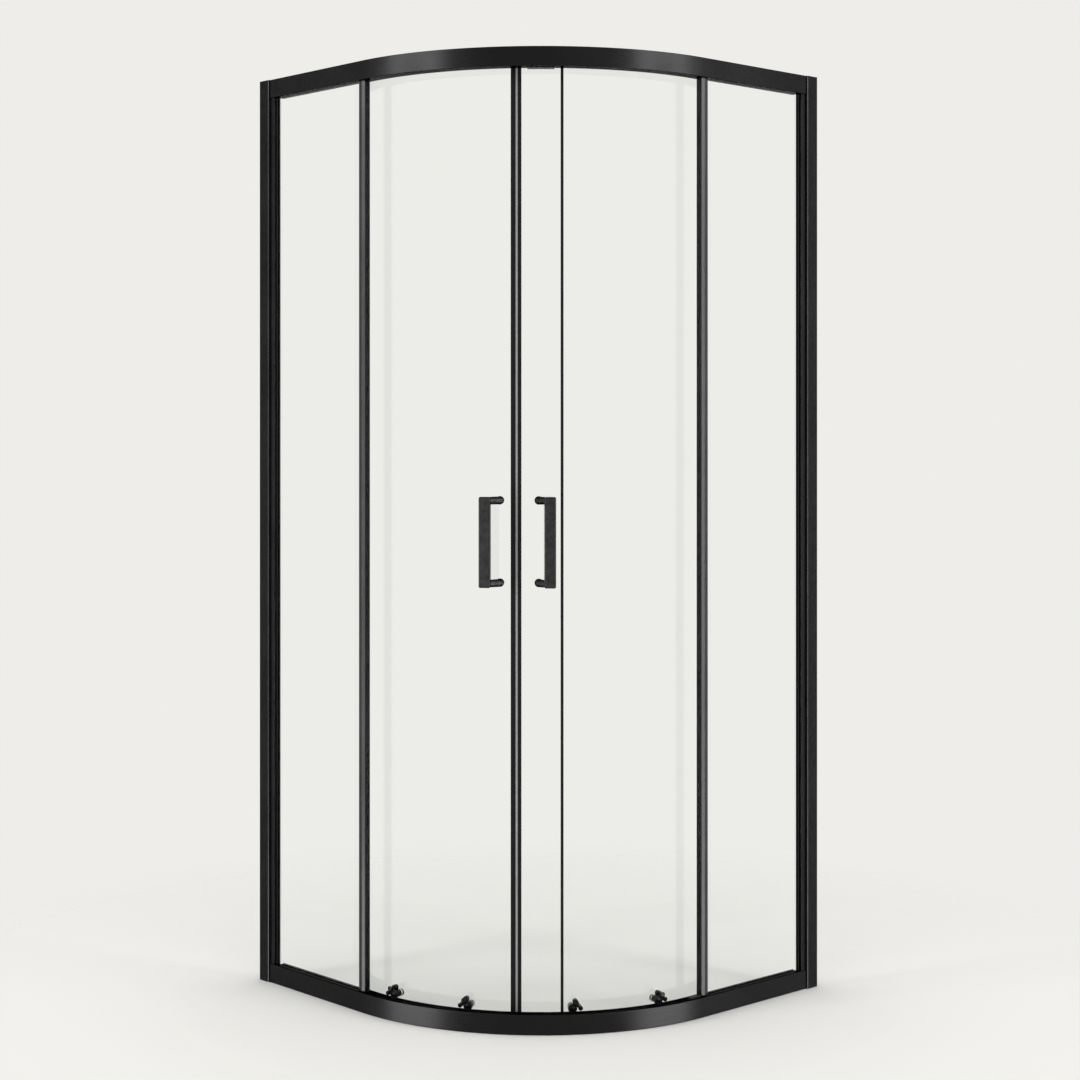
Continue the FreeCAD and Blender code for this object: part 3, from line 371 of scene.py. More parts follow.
def addBump(tree, shader, height, strength, distance):
    values = [("Height", height), ("Strength", strength), ("Distance", distance)]
    bump = addNode(tree, "ShaderNodeBump", values)
    tree.links.new(bump.outputs["Normal"], shader.inputs["Normal"])


def opaqueMaterial(name, look, group, **values):  # cloudy colour, paler where corners are rubbed
    material, tree, shader, place = newMaterial(name)
    skin = placeGroup(tree, group, place, Low=look["rough"][0], High=look["rough"][1], **values)
    rub = placeGroup(tree, edgeRub, place, Amount=look["rub"])
    colour = blendColour(tree, skin.outputs["Tone"], look["colour"], look["cloud"])
    colour = blendColour(tree, rub.outputs["Mask"], colour, look["rubbed"])
    tree.links.new(colour, shader.inputs["Base Color"])
    tree.links.new(skin.outputs["Roughness"], shader.inputs["Roughness"])
    shader.inputs["Specular IOR Level"].default_value = look["shine"]
    addBump(tree, shader, skin.outputs["Height"], look["bump"], 0.0001)
    return material, shader


def coatedMetal(name, look, lines):
    material, shader = opaqueMaterial(name, look, drawnFilm, Lines=lines)
    shader.inputs["Metallic"].default_value = look["metal"]
    shader.inputs["Specular Tint"].default_value = (look["edge"], look["edge"], look["edge"], 1)
    return material


def mouldedPlastic(name, look):
    return opaqueMaterial(name, look, mouldSkin, Scale=look["grain"])[0]


def clearMaterial(name, look):  # glass and clear vinyl, lamps reach what is behind
    material, tree, shader, place = newMaterial(name)
    marks = placeGroup(tree, waterMarks, place, Scale=look["marks"])
    rough = spread(tree, marks.outputs["Mask"], 0.0, 1.0, look["rough"][0], look["rough"][1])
    colour = blendColour(tree, marks.outputs["Mask"], look["colour"], look["marked"])
    tree.links.new(colour, shader.inputs["Base Color"])
    tree.links.new(rough, shader.inputs["Roughness"])
    shader.inputs["Transmission Weight"].default_value = look["clear"]
    shader.inputs["IOR"].default_value = look["index"]
    shader.inputs["Specular IOR Level"].default_value = look["shine"]
    addBump(tree, shader, marks.outputs["Height"], look["bump"], 0.0002)
    through = tree.nodes.new("ShaderNodeBsdfTransparent")
    through.inputs["Color"].default_value = (*look["shadow"], 1)
    shadow = tree.nodes.new("ShaderNodeLightPath").outputs["Is Shadow Ray"]
    mixInto(tree, "Material Output", shadow, shader, through)
    return material


coatLook = {"colour": (0.0145, 0.0145, 0.015), "cloud": (0.018, 0.018, 0.0185),
            "rubbed": (0.035, 0.035, 0.036), "rough": (0.22, 0.3), "rub": 0.35, "metal": 1.0,
            "shine": 0.5, "edge": 0.28, "bump": 0.12}
# Painted highlight: the posts get the rails' black coat made lighter, so that the glint on their
# nose reads brighter.
postGlintLook = {"colour": (0.027, 0.027, 0.0275), "cloud": (0.032, 0.032, 0.0325),
            "rubbed": (0.05, 0.05, 0.051), "rough": (0.24, 0.3), "rub": 0.35, "metal": 1.0,
            "shine": 0.5, "edge": 0.35, "bump": 0.03}
handleLook = {"colour": (0.022, 0.022, 0.0225), "cloud": (0.028, 0.028, 0.0285),
              "rubbed": (0.07, 0.07, 0.072), "rough": (0.3, 0.4), "rub": 0.5, "metal": 1.0,
              "shine": 0.5, "edge": 0.3, "bump": 0.15}
rollerLook = {"colour": (0.0025, 0.0025, 0.0026), "cloud": (0.004, 0.004, 0.004),
              "rubbed": (0.02, 0.02, 0.02), "rough": (0.14, 0.26), "rub": 0.25, "shine": 0.16,
              "bump": 0.1, "grain": 1800.0}
wheelLook = {"colour": (0.003, 0.003, 0.003), "cloud": (0.005, 0.005, 0.005),
             "rubbed": (0.02, 0.02, 0.02), "rough": (0.25, 0.4), "rub": 0.4, "shine": 0.12,
             "bump": 0.15, "grain": 1500.0}
sealLook = {"colour": (0.003, 0.003, 0.0031), "cloud": (0.005, 0.005, 0.005),
            "rubbed": (0.012, 0.012, 0.012), "rough": (0.35, 0.5), "rub": 0.3, "shine": 0.12,
            "bump": 0.1, "grain": 1100.0}
# Painted highlight: the magnet strips are a light grey that stands in for the highlight along the
# doors' seam.
magnetSheenLook = {"colour": (0.23, 0.23, 0.232), "cloud": (0.28, 0.28, 0.282),
              "rubbed": (0.35, 0.35, 0.35), "rough": (0.35, 0.5), "rub": 0.3, "shine": 0.4,
              "bump": 0.1, "grain": 1100.0}
trimLook = {"colour": (0.004, 0.004, 0.0042), "cloud": (0.007, 0.007, 0.007),
            "rubbed": (0.02, 0.02, 0.02), "rough": (0.35, 0.5), "rub": 0.4, "shine": 0.15,
            "bump": 0.2, "grain": 1300.0}
steelLook = {"colour": (0.42, 0.42, 0.43), "cloud": (0.5, 0.5, 0.51), "rubbed": (0.62, 0.62, 0.62),
             "rough": (0.25, 0.4), "rub": 0.6, "metal": 1.0, "shine": 0.5, "edge": 1.0, "bump": 0.2}
pinLook = {"colour": (0.014, 0.014, 0.0145), "cloud": (0.02, 0.02, 0.021),
           "rubbed": (0.05, 0.05, 0.05), "rough": (0.2, 0.32), "rub": 0.5, "metal": 1.0,
           "shine": 0.5, "edge": 0.35, "bump": 0.15}
glassLook = {"colour": (0.985, 0.995, 0.99), "marked": (0.93, 0.94, 0.94), "rough": (0.0, 0.12),
             "marks": 70.0, "clear": 1.0, "index": 1.5, "shine": 0.025, "bump": 0.04,
             "shadow": (0.93, 0.95, 0.94)}
vinylLook = {"colour": (0.97, 0.98, 0.98), "marked": (0.9, 0.92, 0.92), "rough": (0.02, 0.12),
             "marks": 90.0, "clear": 1.0, "index": 1.12, "shine": 0.1, "bump": 0.1,
             "shadow": (0.9, 0.92, 0.92)}

alongLevel, alongUpright = (12, 12, 1400), (1400, 1400, 12)
railCoat = coatedMetal("railCoat", coatLook, alongLevel)
profileCoat = coatedMetal("profileCoat", {**coatLook, "bump": 0.03}, alongUpright)  # finer lines
# Lighter than the rails' coat: a painted highlight on the posts.
postGlintCoat = coatedMetal("postGlintCoat", postGlintLook, alongUpright)
handleMetal = coatedMetal("handleMetal", handleLook, alongUpright)
steel = coatedMetal("steel", steelLook, alongLevel)
pinMetal = coatedMetal("pinMetal", pinLook, alongLevel)
rollerPlastic = mouldedPlastic("rollerPlastic", rollerLook)
wheelPlastic = mouldedPlastic("wheelPlastic", wheelLook)
sealRubber = mouldedPlastic("sealRubber", sealLook)
# Light grey for a painted highlight along the seam.
magnetSheenRubber = mouldedPlastic("magnetSheenRubber", magnetSheenLook)
trimPlastic = mouldedPlastic("trimPlastic", trimLook)
glass = clearMaterial("glass", glassLook)
vinyl = clearMaterial("vinyl", vinylLook)
print("materials ready")


# Rails: one section, straight, bent round the quarter, straight again

bottomRail = {"section": ((0, 0), (38, 0), (38, 33.5), (36.8, 33.5), (36.8, 32), (17.6, 32),
                          (17.6, 36), (16, 36), (16, 9), (7, 9), (7, 38), (0, 38)), "lips": (0, 38),
              "round": 1.1, "ease": 0.35}
topRail = {"section": ((0, 1813), (7, 1813), (7, 1841), (16, 1841), (16, 1815), (38, 1815),
                       (38, 1818.1), (36.8, 1818.1), (36.8, 1816.6), (17.6, 1816.6), (17.6, 1842),
                       (24, 1842), (24, 1848.4), (38, 1848.4), (38, 1850), (0, 1850)),
           "lips": (1813, 1850), "round": 1.1, "ease": 0.35}
railRun = {"start": 31.15, "bendSteps": 90}


def bendRail(name, node, rail):
    points = [panelPoint(railRun["start"], depth, z) for depth, z in rail["section"]]
    piece = traceFace(name, points)
    straight = plan["half"] - plan["bend"] - railRun["start"]
    extrudeBy(straight, 0, 0)
    bend = Vector((-plan["bend"], plan["bend"], 0)) * mm
    bpy.ops.mesh.spin(steps=railRun["bendSteps"], angle=math.pi / 2, center=bend, axis=(0, 0, -1))
    extrudeBy(0, straight, 0)
    tidyMesh()

    def frontEdge(middle, way):
        radius = math.hypot(middle.x + plan["bend"], middle.y - plan["bend"])
        outer = (near(middle.y, -plan["face"]) or near(middle.x, plan["face"]) or
                 near(radius, plan["arc"]))
        return outer and any(near(middle.z, z) for z in rail["lips"]) and near(way.z, 0)

    roundEdges(frontEdge, rail["round"])
    easeAndFit(piece, rail["ease"], 2, node, railCoat)


bendRail("bottomRail", "bottom_rail", bottomRail)
bendRail("topRail", "top_rail", topRail)
print("rails bent")


# Uprights: wall profiles, jambs, posts and gaskets, the right ones mirrored from the left

wallProfile = {"section": ((0, -3), (28.6, -3), (31, -2), (31, -1.2), (2, -1.2), (2, 28.2),
                           (31, 28.2), (31, 30), (0, 30)), "bevel": (28.6, -3), "bevelRound": 0.4,
               "back": (0, -3), "backRound": 0.8, "level": (0, 1848.5),
               "holes": (150, 666.67, 1183.33, 1700), "holePlace": (1, 13.5), "holeRadius": 3,
               "holeDeep": 12, "ease": 0.3}
profileCap = {"section": ((0, -3), (31, -3), (31, 30), (0, 30)), "level": (1848.5, 1850),
              "ease": 0.5}
jamb = {"slide": ((6, -0.9), (31, -0.9), (31, 27.9), (6, 27.9), (6, 26.4), (29, 26.4), (29, 0.6),
                  (6, 0.6)), "slideLevel": (0, 1848.2),
        "front": ((30, 1.5), (44, 1.5), (44, 7), (35.5, 7), (35.5, 16), (44, 16), (44, 19),
                  (30, 19)), "frontLevel": (38.3, 1812.7), "ease": 0.45}
gasket = {"section": ((35.8, 7.1), (48, 7.1), (48, 8.9), (37.4, 8.9), (37.4, 14.1), (48, 14.1),
                      (48, 15.9), (35.8, 15.9)), "level": (38.3, 1812.7), "ease": 0.5}
post = {"section": ((318, 7.15), (327, 7.15), (335, 9.9), (335, 21.15), (318, 21.15), (318, 14.3),
                    (330, 14.3), (330, 8.7), (318, 8.7)), "level": (36, 1815), "nose": (335, 9.9),
        "noseRound": 2, "bend": (327, 7.15), "bendRound": 1, "ease": 0.45}


def raisePanel(name, section, level):
    return prism(name, [panelPoint(reach, depth, level[0]) for reach, depth in section],
                 (0, 0, level[1] - level[0]))


def edgeAt(reach, depth):  # a test for the upright edge at this place
    spot = panelPoint(reach, depth, 0) / mm

    def test(middle, way):
        return near(middle.x, spot.x) and near(middle.y, spot.y) and abs(way.z) > 0.9

    return test


def fitPair(piece, width, name, node, material):  # the right one is the left one mirrored
    easeEdges(piece, width, 2, 50)
    settle(piece, 40)
    fit(copyTo(piece, "right" + name, mirrorAcross), "right_" + node, material)
    fit(piece, "left_" + node, material)


piece = raisePanel("leftWallProfile", wallProfile["section"], wallProfile["level"])
roundEdges(edgeAt(*wallProfile["bevel"]), wallProfile["bevelRound"], 3)
roundEdges(edgeAt(*wallProfile["back"]), wallProfile["backRound"], 3)
for level in wallProfile["holes"]:
    clearSelection()
    bpy.ops.mesh.primitive_cylinder_add(vertices=32, radius=wallProfile["holeRadius"] * mm,
                                        depth=wallProfile["holeDeep"] * mm,
                                        location=panelPoint(*wallProfile["holePlace"], level),
                                        rotation=(0, math.pi / 2, 0))
    combine(piece, bpy.context.object, "DIFFERENCE")
fitPair(piece, wallProfile["ease"], "WallProfile", "wall_profile", profileCoat)

caps = raisePanel("leftCap", profileCap["section"], profileCap["level"])
easeEdges(caps, profileCap["ease"], 3, 50)
settle(caps)
caps = joinAs("profileCaps", [caps, copyTo(caps, "rightCap", mirrorAcross)])
fit(caps, "profile_caps", trimPlastic)

piece = raisePanel("leftJamb", jamb["slide"], jamb["slideLevel"])
combine(piece, raisePanel("jambFront", jamb["front"], jamb["frontLevel"]), "UNION")
fitPair(piece, jamb["ease"], "Jamb", "jamb", profileCoat)

piece = raisePanel("leftGasket", gasket["section"], gasket["level"])
fitPair(piece, gasket["ease"], "Gasket", "glazing_gasket", sealRubber)

piece = raisePanel("leftPost", post["section"], post["level"])
roundEdges(edgeAt(*post["nose"]), post["noseRound"], 5)
roundEdges(edgeAt(*post["bend"]), post["bendRound"], 3)
fitPair(piece, post["ease"], "Post", "post", postGlintCoat)
print("uprights stand")


# Small trim of the frame

centreStop = {"start": -0.752, "span": 6.705, "radius": (434, 454), "level": (1812.4, 1814.9),
              "ease": 0.8, "steps": 12}
postPlug = {"end": 44.7, "long": 29, "radius": (454.3, 462.7), "level": (9.3, 41.5), "ease": 1.4,
            "steps": 8}
doorStop = {"section": ((17.9, 1816.6), (36.1, 1816.6), (36.1, 1823.7), (19.9, 1825.7),
                        (17.9, 1823.7)), "left": (196, 22), "right": (210, 22), "ease": 0.8}
screwCap = {"profile": ((30.0, 4.5), (32.6, 4.5), (33.6, 3.7), (34.1, 2.2), (34.1, 0)),
            "levels": (200, 925, 1650), "reach": 15.5, "steps": 28}


def fourCorners(block):
    (inner, outer), (low, high) = block["radius"], block["level"]
    return ((inner, low), (outer, low), (outer, high), (inner, high))


def sweepBlock(name, start, span, corners, steps):  # corners (radius, level) carried along the arc
    piece = traceFace(name, [arcPoint(start, r, 0, z) for r, z in corners])
    bend = Vector((-plan["bend"], plan["bend"], 0)) * mm
    bpy.ops.mesh.spin(steps=steps, angle=math.radians(span), center=bend, axis=(0, 0, -1))
    tidyMesh()
    return piece


piece = sweepBlock("centreStop", centreStop["start"], centreStop["span"], fourCorners(centreStop),
                   centreStop["steps"])
easeEdges(piece, centreStop["ease"], 3, 40)
fit(settle(piece), "centre_stop", trimPlastic)
plugSpan = math.degrees(postPlug["long"] / plan["arc"])
piece = sweepBlock("postPlug", postPlug["end"] - plugSpan, plugSpan, fourCorners(postPlug),
                   postPlug["steps"])
easeEdges(piece, postPlug["ease"], 4, 40)
fit(settle(piece), "post_plug", trimPlastic)


def layDoorStop(name, run):  # run: start and length along the left panel
    start, long = run
    piece = prism(name, [panelPoint(start, depth, z) for depth, z in doorStop["section"]],
                  (long, 0, 0))
    easeEdges(piece, doorStop["ease"], 3)
    return settle(piece)


leftStop = layDoorStop("doorStops", doorStop["left"])
rightStop = layDoorStop("rightStop", doorStop["right"])
movedStop = copyTo(rightStop, "rightDoorStop", mirrorAcross)
bpy.data.objects.remove(rightStop)
fit(joinAs("doorStops", [leftStop, movedStop]), "door_stops", trimPlastic)

cap = turnProfile("screwCap", screwCap["profile"], screwCap["steps"])  # lies along X at first
turnUp = Matrix.Rotation(math.pi / 2, 4, "Z")
covers = []
for index, level in enumerate(screwCap["levels"]):
    spot = panelPoint(screwCap["reach"], 0, level)
    cover = copyTo(cap, "screwCap%d" % index, Matrix.Translation(spot) @ turnUp)
    covers += [cover, copyTo(cover, "mirroredCap%d" % index, mirrorAcross)]
bpy.data.objects.remove(cap)
fit(joinAs("screwCaps", covers), "screw_caps", trimPlastic)
print("trim in place")


# Doors: bent glass, seals and the strip

pane = {"radius": (419.5, 424.5), "level": (14, 70, 815, 870, 970, 1026, 1796, 1844),
        "left": (-52.66, 48.341), "right": (-3.104, 54.444), "steps": 60, "ease": 0.4,
        "rollerHole": 6, "handleHole": 3.95, "drill": (422, 20)}
rollerAngles = {"left": {"inner": 12.8, "outer": 34.5}, "right": {"inner": 13.35, "outer": 36.4}}
handleAngle = 5
wheelLevel = {"bottom": 41.0, "top": 1825.6}
handleLevels = (842.7, 998.7)
sideSign = {"left": -1, "right": 1}


def rollerAt(side, word):
    return plan["pair"] + sideSign[side] * rollerAngles[side][word]


def drill(piece, angle, z, radius):
    clearSelection()
    middle, deep = pane["drill"]
    bpy.ops.mesh.primitive_cylinder_add(vertices=32, radius=radius * mm, depth=deep * mm,
                                        location=arcPoint(angle, middle, 0, z),
                                        rotation=(0, math.pi / 2, math.radians(angle - 45)))
    combine(piece, bpy.context.object, "DIFFERENCE")


def bendPane(side):
    start, span = pane[side]
    inner, outer = pane["radius"]
    outline = [(outer, z) for z in pane["level"]] + [(inner, z) for z in reversed(pane["level"])]
    piece = sweepBlock(side + "DoorGlass", start, span, outline, pane["steps"])
    for word in rollerAngles[side]:
        for z in wheelLevel.values():
            drill(piece, rollerAt(side, word), z, pane["rollerHole"])
    for z in handleLevels:
        drill(piece, plan["pair"] + sideSign[side] * handleAngle, z, pane["handleHole"])
    easeAndFit(piece, pane["ease"], 2, side + "_door_glass", glass, side + "_door")


def raiseAtAngle(name, angle, side, section, level):  # corners (radius, distance from the seam)
    points = [arcPoint(angle, r, sideSign[side] * aside, level[0]) for r, aside in section]
    return prism(name, points, (0, 0, level[1] - level[0]))


doorSeal = {"left": ((418.1, 0.1), (425.9, 0.1), (425.9, 8.9), (424.7, 8.9), (424.7, 3.2),
                     (419.3, 3.2), (419.3, 8.9), (418.1, 8.9)),
            "right": ((418.1, 4.7), (425.9, 4.7), (425.9, 10.9), (424.7, 10.9), (424.7, 5.4),
                      (419.3, 5.4), (419.3, 10.9), (418.1, 10.9)),
            "magnetRoom": ((419.3, 0.6), (424.7, 0.6), (424.7, 2.7), (419.3, 2.7)),
            "roomLevel": (10, 1850), "level": (14, 1844), "ease": 0.45}
magnet = {"section": ((418.5, 0.1), (425.5, 0.1), (425.5, 4.6), (418.5, 4.6)), "ease": 0.6}
edgeSeal = {"section": ((418.1, -10), (419.3, -10), (419.3, 0.2), (424.7, 0.2), (424.7, -10),
                        (425.9, -10), (425.9, 0.4), (442, 0.4), (442, 1.4), (418.1, 1.4)),
            "level": (41, 1810), "ease": 0.3, "left": -52.66, "right": 51.34}
sweepSeal = {"section": ((418.1, 12.6), (421, 12.6), (421, 3), (422, 3), (422, 12.6), (425.9, 12.6),
                         (425.9, 22), (424.7, 22), (424.7, 13.8), (419.3, 13.8), (419.3, 22),
                         (418.1, 22)), "left": (-52.66, 47.261), "right": (-2.321, 53.661),
             "ease": 0.3, "steps": 50}
glassStrip = {"section": ((424.6, -2.7), (427.6, -2.7), (427.6, 2.7), (424.6, 2.7)), "angle": 8.04,
              "level": (24, 1844), "ease": 0.9}

for side in ("left", "right"):
    door = side + "_door"
    bendPane(side)
    piece = raiseAtAngle(side + "DoorSeal", plan["seam"], side, doorSeal[side], doorSeal["level"])
    if side == "left":
        room = raiseAtAngle("magnetRoom", plan["seam"], side, doorSeal["magnetRoom"],
                            doorSeal["roomLevel"])
        combine(piece, room, "DIFFERENCE")
    easeAndFit(piece, doorSeal["ease"], 3, side + "_door_seal", sealRubber, door)
    piece = raiseAtAngle(side + "EdgeSeal", edgeSeal[side], side, edgeSeal["section"],
                         edgeSeal["level"])
    easeAndFit(piece, edgeSeal["ease"], 2, side + "_edge_seal", vinyl, door)
    start, span = sweepSeal[side]
    piece = sweepBlock(side + "SweepSeal", start, span, sweepSeal["section"], sweepSeal["steps"])
    easeAndFit(piece, sweepSeal["ease"], 2, side + "_bottom_seal", vinyl, door)
piece = raiseAtAngle("rightMagnet", plan["seam"], "right", magnet["section"], doorSeal["level"])
easeAndFit(piece, magnet["ease"], 3, "right_magnet_strip", magnetSheenRubber, "right_door")
piece = raiseAtAngle("glassStrip", glassStrip["angle"], "right", glassStrip["section"],
                     glassStrip["level"])
easeAndFit(piece, glassStrip["ease"], 3, "right_glass_strip", sealRubber, "right_door")
print("doors glazed")


# Rollers: each piece is modelled once about the arc's centre, its axle along X

carrier = {"back": 424.9, "front": 433.9, "lobeFront": 442, "boss": (415.5, 5.8), "hub": 6.8,
           "button": (6.8, 10.3, 5.3), "screw": (15.1, 0.2, 4.3), "ease": 0.7, "bore": 2.55,
           "buttonBore": 3.25, "boreFloor": 426.5, "axleFloor": 425.3, "past": 450, "sunk": (4, 2),
           "points": 72}
hanger = {"lobes": (-7, 16, 8), "radius": 5.3, "points": 64}
wheel = {"profile": ((436.5, 2.55), (441.5, 2.55), (441.5, 4.5), (441.2, 4.9), (440.8, 5.1),
                     (440.8, 6.2), (441.1, 6.6), (441.5, 6.9), (441.5, 8.0), (441.25, 8.5),
                     (440.7, 8.7), (437.3, 8.7), (436.75, 8.5), (436.5, 8.0), (436.5, 6.9),
                     (436.9, 6.6), (437.2, 6.2), (437.2, 5.1), (436.8, 4.9), (436.5, 4.5)),
         "steps": 64}
axle = {"profile": ((428.3, 0), (428.3, 2.2), (428.6, 2.5), (441.8, 2.5), (441.8, 4.0),
                    (442.0, 4.2), (442.3, 4.15), (442.55, 3.7), (442.7, 2.8), (442.7, 1.2),
                    (442.4, 0.9), (442.4, 0))}
adjuster = {"profile": ((430.6, 0), (430.6, 2.3), (430.8, 2.5), (442.3, 2.5), (442.55, 2.3),
                        (442.6, 2), (442.6, 0)), "slot": (2, 0.8, 9), "face": 442.6, "ease": 0.12,
            "steps": 32}
button = {"profile": ((430.7, 0), (430.7, 3.0), (430.9, 3.2), (443.4, 3.2), (443.4, 4.9),
                      (443.6, 5.2), (444.3, 5.2), (444.8, 5.0), (445.15, 4.6), (445.35, 4.0),
                      (445.4, 3.2), (445.4, 2.3), (445.1, 2.0), (445.1, 1.7), (445.4, 1.4),
                      (445.4, 0))}
clampNut = {"outer": 7.4, "span": (414, 419), "teeth": 24, "tooth": (0.12, 0.35), "rim": 1.0,
            "dish": (1.6, 0.6), "recess": (5.85, 415.4), "past": 5, "ease": 0.3}


def rod(name, radius, start, end, aside, z, vertices=40):
    clearSelection()
    bpy.ops.mesh.primitive_cylinder_add(vertices=vertices, radius=radius * mm,
                                        depth=(end - start) * mm,
                                        location=Vector(((start + end) / 2, aside, z)) * mm,
                                        rotation=(0, math.pi / 2, 0))
    piece = bpy.context.object
    piece.name = name
    return piece


def lobeOutline(circles, points, soft=8):  # silhouette round the circles, the waists filled softly
    cx = sum(c[0] for c in circles) / len(circles)
    cz = sum(c[1] for c in circles) / len(circles)
    outline = []
    for step in range(points):
        turn = 2 * math.pi * step / points
        ux, uz = math.cos(turn), math.sin(turn)
        reach = 0
        for x, z, r in circles:
            along = (x - cx) * ux + (z - cz) * uz
            off = abs((x - cx) * uz - (z - cz) * ux)
            if off < r:
                reach += max(0, along + math.sqrt(r * r - off * off)) ** soft
        outline.append((cx + ux * reach ** (1 / soft), cz + uz * reach ** (1 / soft)))
    return outline


def addBoss(piece):  # the spigot through the glass, then the edges are eased
    start, radius = carrier["boss"]
    combine(piece, rod("boss", radius, start, carrier["back"] + carrier["sunk"][1], 0, 0), "UNION")
    easeEdges(piece, carrier["ease"], 3, 50)


def boreHole(piece, radius, floor, place):
    combine(piece, rod("bore", radius, floor, carrier["past"], place[0], place[1]), "DIFFERENCE")


def raiseLobes(name, circles, points):
    ring = lobeOutline(circles, points)
    return prism(name, [Vector((carrier["back"], y, z)) * mm for y, z in ring],
                 (carrier["front"] - carrier["back"], 0, 0))


def modelCarrier():
    hub = (0, 0, carrier["hub"])
    circles = [hub, carrier["button"], carrier["screw"]]
    piece = raiseLobes("carrierMaster", circles, carrier["points"])
    y, z, r = carrier["screw"]
    start = carrier["front"] - carrier["sunk"][0]
    combine(piece, rod("lobe", r, start, carrier["lobeFront"], y, z), "UNION")
    addBoss(piece)
    boreHole(piece, carrier["buttonBore"], carrier["boreFloor"], carrier["button"])
    boreHole(piece, carrier["bore"], carrier["boreFloor"], carrier["screw"])
    boreHole(piece, carrier["bore"], carrier["axleFloor"], hub)
    return settle(piece, 40)


def modelHanger():
    hub = (0, 0, carrier["hub"])
    lobes = [(y, 0, hanger["radius"]) for y in hanger["lobes"]]
    piece = raiseLobes("hangerMaster", [hub] + lobes, hanger["points"])
    addBoss(piece)
    boreHole(piece, carrier["bore"], carrier["axleFloor"], hub)
    return settle(piece, 40)


def modelNut():
    start, end = clampNut["span"]
    piece = rod("nutMaster", clampNut["outer"], start, end, 0, 0, 2 * clampNut["teeth"])
    useOnly(piece)
    bpy.ops.object.mode_set(mode="EDIT")
    mesh = bmesh.from_edit_mesh(piece.data)
    bpy.ops.mesh.select_mode(type="FACE")
    bpy.ops.mesh.select_all(action="DESELECT")
    sides = [f for f in mesh.faces if abs(f.normal.z) < 0.5]
    sides.sort(key=lambda f: math.atan2(f.normal.x, f.normal.y))
    for face in sides[::2]:
        face.select = True
    bmesh.update_edit_mesh(piece.data)
    flank, deep = clampNut["tooth"]
    bpy.ops.mesh.inset(thickness=flank * mm, depth=-deep * mm, use_individual=True)
    turned = piece.matrix_world.to_3x3()
    pickFaces(piece, lambda face: (turned @ face.normal).x < -0.9)
    bpy.ops.mesh.inset(thickness=clampNut["rim"] * mm, depth=0)
    wide, deep = clampNut["dish"]
    bpy.ops.mesh.inset(thickness=wide * mm, depth=-deep * mm)
    bpy.ops.mesh.select_mode(type="VERT")
    radius, floor = clampNut["recess"]
    combine(piece, rod("recess", radius, floor, end + clampNut["past"], 0, 0), "DIFFERENCE")
    easeEdges(piece, clampNut["ease"], 2, 40)
    return settle(piece, 35)


def modelAdjuster():
    piece = turnProfile("adjusterMaster", adjuster["profile"], adjuster["steps"])
    clearSelection()
    bpy.ops.mesh.primitive_cube_add(size=1, location=Vector((adjuster["face"], 0, 0)) * mm,
                                    scale=Vector(adjuster["slot"]) * mm)
    combine(piece, bpy.context.object, "DIFFERENCE")
    easeEdges(piece, adjuster["ease"], 2, 40)
    return settle(piece)


masters = {"carrier": modelCarrier(), "hanger": modelHanger(), "nut": modelNut(),
           "adjuster": modelAdjuster(),
           "wheel": settle(turnProfile("wheelMaster", wheel["profile"], wheel["steps"])),
           "axle": settle(turnProfile("axleMaster", axle["profile"])),
           "button": settle(turnProfile("buttonMaster", button["profile"]))}


def shifted(matrix, place):
    return matrix @ Matrix.Translation(Vector((0, place[0], place[1])) * mm)


for side in ("left", "right"):
    door, flip = side + "_door", side == "left"
    low, high, nuts, pins = [], [], [], []
    for word in ("inner", "outer"):
        angle = rollerAt(side, word)
        for level in ("bottom", "top"):
            here = arcMatrix(angle, wheelLevel[level], flip)
            tag = side + level.capitalize() + word.capitalize()
            nuts.append(copyTo(masters["nut"], tag + "Nut", here))
            pins.append(copyTo(masters["axle"], tag + "Axle", here))
            name = "%s_%s_wheel_%s" % (side, level, word)
            fit(copyTo(masters["wheel"], tag + "Wheel", here), name, wheelPlastic, name)
            if level == "bottom":
                low.append(copyTo(masters["carrier"], tag + "Carrier", here))
                pins.append(copyTo(masters["adjuster"], tag + "Adjuster",
                                   shifted(here, carrier["screw"])))
                piece = copyTo(masters["button"], tag + "Button", shifted(here, carrier["button"]))
                name = "%s_release_button_%s" % (side, word)
                fit(piece, name, rollerPlastic, name)
            else:
                high.append(copyTo(masters["hanger"], tag + "Hanger", here))
    fit(joinAs(side + "Carriers", low), side + "_bottom_carriers", rollerPlastic, door)
    fit(joinAs(side + "Hangers", high), side + "_top_carriers", rollerPlastic, door)
    fit(joinAs(side + "ClampNuts", nuts), side + "_clamp_nuts", vinyl, door)
    fit(joinAs(side + "RollerPins", pins), side + "_roller_pins", pinMetal, door)
for master in masters.values():
    bpy.data.objects.remove(master)
print("rollers fitted")


# Handles: a flat bar on two slanting legs with round feet

handle = {"bar": (460.5, 469.5), "aside": 21.5, "wide": 22, "level": (835.2, 1006.2), "corner": 3,
          "rim": 3.6, "foot": (426.4, 7.5, 7), "legTip": (461.5, 15, 14), "legSteps": 48,
          "ease": 0.5}
handleWasher = {"profile": ((424.7, 3.75), (424.7, 7.9), (424.9, 8.1), (426.0, 8.1), (426.2, 7.9),
                            (426.2, 3.75))}
handleScrew = {"profile": ((426.3, 0), (426.3, 3.4), (426.15, 3.55), (419.4, 3.55), (419.4, 7.5),
                           (416.2, 7.5), (415.5, 7.1), (415.05, 6.5), (414.9, 5.8), (414.9, 2.6),
                           (415.5, 2.1), (415.5, 0))}


